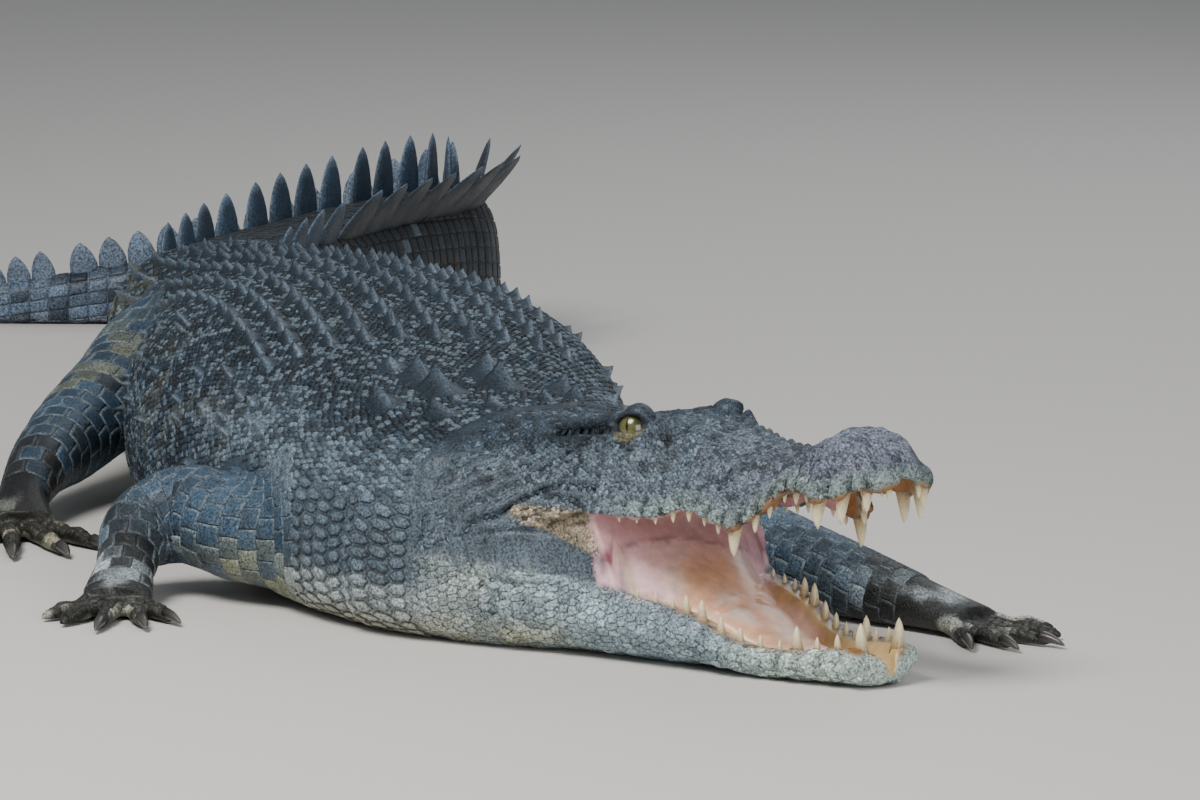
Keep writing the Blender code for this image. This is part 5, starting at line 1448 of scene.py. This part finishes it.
def horns(name, rows, material, nodes, sides=10, rings=9, fat=0.8):
    """Cones from a foot to a point, each bent towards a side: rows of foot, point, bend and radius."""
    foot, point, bend = [np.array(part, float)[:, None, None] for part in zip(*[row[:3] for row in rows])]
    radius = np.array([row[3] for row in rows])[:, None, None, None]
    axis = point - foot
    axis /= np.linalg.norm(axis, axis=-1, keepdims=True)
    across = np.cross(axis, [0.3, 0.2, 0.9])
    across /= np.linalg.norm(across, axis=-1, keepdims=True)
    other = np.cross(axis, across)
    rise, turn = ring_grid(np.linspace(0, 1, rings), sides)
    rise, turn = rise[None, ..., None], turn[None, ..., None]
    wide = radius * ((1 - rise**1.5)**fat * (1 + 0.05 * np.cos(turn * 5)) + 0.02)
    points = (foot + (point - foot) * rise + bend * 4 * rise * (1 - rise)
              + across * np.cos(turn) * wide + other * np.sin(turn) * wide)
    piece = make_piece(name, *solid(points), material)
    layer = piece.data.attributes.new("share", "FLOAT", "POINT")
    layer.data.foreach_set("value", np.tile(np.repeat(np.linspace(0, 1, rings), sides), len(rows)))
    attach(piece, "root")
    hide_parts(*nodes)
    print(name, len(rows))


def teeth():
    """Both rows of teeth of both jaws."""
    upper, lower = [], []
    for side in (1, -1):
        for ahead, height in UPPER_TEETH:
            half, lip = smooth(CRANIUM, ahead)[:2]
            across = side * (half - LIP_WIDTH * 0.5)
            foot = head_point(np.array(ahead), np.array(across), np.array(lip + 0.008))
            point = head_point(np.array(ahead - height * 0.20), np.array(across + side * height * 0.13),
                               np.array(lip - height))
            upper.append((foot, point, LATERAL * side * height * 0.06, height * 0.21 + 0.0014))
        for ahead, height in LOWER_TEETH:
            half, rim = smooth(MANDIBLE, ahead)[:2]
            foot = jaw_point(ahead, side * (half - 0.018), np.array(rim - 0.008))
            point = jaw_point(ahead, side * (half - 0.018 + height * 0.13), np.array(rim + height))
            lower.append((foot, point, LATERAL * side * height * 0.06, height * 0.21 + 0.0014))
    return upper, lower


upper_rows, lower_rows = teeth()
horns("teeth_upper", upper_rows, IVORY, ["head_upper"], fat=0.62)
horns("teeth_lower", lower_rows, IVORY, ["lower_jaw"], fat=0.62)
claw_rows = []
for limb in LIMBS:
    for i, root, way, length, radius in toe_paths(limb):
        if i < CLAWED_TOES:
            foot = root + way * (length - CLAW_LENGTH * 0.5) + np.array([0, 0, radius * 0.9])
            point = root + way * (length + CLAW_LENGTH * 0.8) + np.array([0, 0, radius * 0.35])
            claw_rows.append((foot, point, np.array([0, 0, 0.002]), radius * 0.55))
horns("claws", claw_rows, HORN, [n for n in FLESH if n.endswith(("hand", "foot"))], fat=0.7)


# %% [markdown]
# ## Eyes
# The eye of a crocodile is olive yellow with a dark upright slit. The ball sits in the lids with only its
# front showing, and a wet film over it gives one sharp highlight.

# %% Eyeballs
def eye_material():
    """Olive iris with fine rays and a slit pupil, under a clear wet coat."""
    material, tree, shader = new_material("crocodile_eye", Roughness=0.22, Coat_Weight=1.0,
                                          Coat_Roughness=0.03)
    colour = node(tree, "Attribute", {"attribute_name": "tint"})
    place = node(tree, "TexCoord")
    ray = node(tree, "TexNoise", {"Scale": 900.0, "Detail": 3.0}, Vector=(place, "Object"))
    ramp = node(tree, "MapRange", {"To Min": 0.65, "To Max": 1.25}, Value=(ray, "Fac"))
    scaled = node(tree, "VectorMath", {"operation": "SCALE"}, i0=(colour, "Color"), i3=(ramp, 0))
    tree.links.new(scaled.outputs[0], shader.inputs["Base Color"])
    return material


EYE = eye_material()
IRIS, IRIS_EDGE = linear("#5c5b2c"), linear("#2f2e17")
for name, side in (("eye_left", 1), ("eye_right", -1)):
    middle, out, along, up = eye_frame(side)
    tilt, turn = ring_grid(np.linspace(0.001, math.pi, 49), 64)
    x, y = np.sin(tilt) * np.cos(turn), np.sin(tilt) * np.sin(turn)
    ball = along * x[..., None] + up * y[..., None] + out * np.cos(tilt)[..., None]
    ball = middle + EYE_RADIUS * 0.99 * ball
    piece = make_piece(name + "_ball", *solid([ball]), EYE)
    flat_x, flat_y = x.ravel(), y.ravel()
    from_middle = np.hypot(flat_x, flat_y)
    tone = mix(np.tile(IRIS, (x.size, 1)), IRIS_EDGE, step(from_middle, 0.3, 0.7))
    tone = mix(tone, linear("#17150e"), step(from_middle, 0.72, 0.82))
    slit = np.abs(flat_x) / 0.07 + (flat_y / 0.52)**2
    tone = mix(tone, linear("#050505"), (1 - step(slit, 0.9, 1.1)) * (np.cos(tilt.ravel()) > 0))
    tint(piece.data, tone)
    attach(piece, "root")
    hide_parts(name)

# %% [markdown]
# ## Tongue
# A crocodile's tongue is a broad pad, tied down along its whole length to the floor of the mouth.

# %% Tongue pad
tongue_ahead = np.linspace(0.215, 0.500, 70)
half, rim, _, keel, arm = smooth(MANDIBLE, tongue_ahead).T[:, :, None]
inner = np.maximum(half - arm, half * 0.3) * 0.8 - 0.004
floor = np.maximum(rim - JAW_FLOOR_DROP, np.maximum(keel, 0) + 0.012) + 0.0008
swell = 0.024 * np.sin(math.pi * (tongue_ahead[:, None] - 0.215) / 0.285 * 0.98 + 0.02)**0.5
turn = np.linspace(0, math.pi, 25)[None]
across = np.concatenate([inner * np.cos(turn), -inner * np.linspace(0.9, -0.9, 9)[None]], 1)
up = np.concatenate([floor + swell * np.sin(turn)**0.6, floor + np.zeros((1, 9))], 1)
tongue_points = jaw_point(np.repeat(tongue_ahead[:, None], 34, 1), across, up)
tongue = make_piece("tongue_pad", *solid([tongue_points]), LINING)
flat = tongue_points.reshape(-1, 3)
tint(tongue.data, mix(np.tile(SALMON, (len(flat), 1)), BLUSH, step(noise(flat, 0.08, 21), -0.2, 0.8)))
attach(tongue, "root")
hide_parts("tongue")
print("tongue", len(flat), "points")

# %% [markdown]
# ## Studio and camera
# The animal is seen from low in front with a long lens far away, which gives a near-parallel view. A pale
# floor and three large soft lamps show the form without hard shadows.

# %% Floor, lamps and camera
CAMERA_PLACE, CAMERA_TILT, CAMERA_LENS = (0.35, -13.018, 2.084), 8.39, 309.6


def lamp(name, place, size, power, target=(0.1, -0.3, 0.1), tint=(1, 1, 1)):
    """A square soft lamp that faces the target."""
    data = bpy.data.lights.new(name, "AREA")
    data.size, data.energy, data.color = size, power, tint
    item = bpy.data.objects.new(name, data)
    item.location = place
    item.rotation_euler = (Vector(target) - Vector(place)).to_track_quat("-Z", "Y").to_euler()
    bpy.context.scene.collection.objects.link(item)


def build_stage():
    """A flat pale floor, a soft sky, three lamps and the camera."""
    floor_material = new_material("studio_floor", Base_Color=(0.62, 0.60, 0.57, 1), Roughness=0.8)[0]
    half = 30.0
    corners = [(-half, -half, -0.0005), (half, -half, -0.0005), (half, half, -0.0005), (-half, half, -0.0005)]
    make_piece("studio_floor", corners, [(0, 1, 2, 3)], floor_material, flat=True)
    world = bpy.data.worlds.new("studio_sky")
    world.use_nodes = True
    world.node_tree.nodes["Background"].inputs["Color"].default_value = (0.86, 0.92, 1.0, 1)
    world.node_tree.nodes["Background"].inputs["Strength"].default_value = 0.24
    bpy.context.scene.world = world
    lamp("key", (-1.6, -2.6, 4.2), 2.2, 280, tint=(1, 0.98, 0.95))
    lamp("rim", (2.0, 3.6, 3.6), 3.0, 60, tint=(0.92, 0.96, 1))
    lamp("front", (2.4, -5.0, 1.6), 3.0, 115)
    data = bpy.data.cameras.new("camera")
    data.lens, data.sensor_width, data.clip_end = CAMERA_LENS, 36, 60
    camera = bpy.data.objects.new("camera", data)
    camera.location = CAMERA_PLACE
    camera.rotation_euler = (math.radians(90 - CAMERA_TILT), 0, 0)
    bpy.context.scene.collection.objects.link(camera)
    bpy.context.scene.camera = camera


build_stage()
print("camera lens", CAMERA_LENS, "mm")

# %% Finish
bpy.context.view_layer.update()
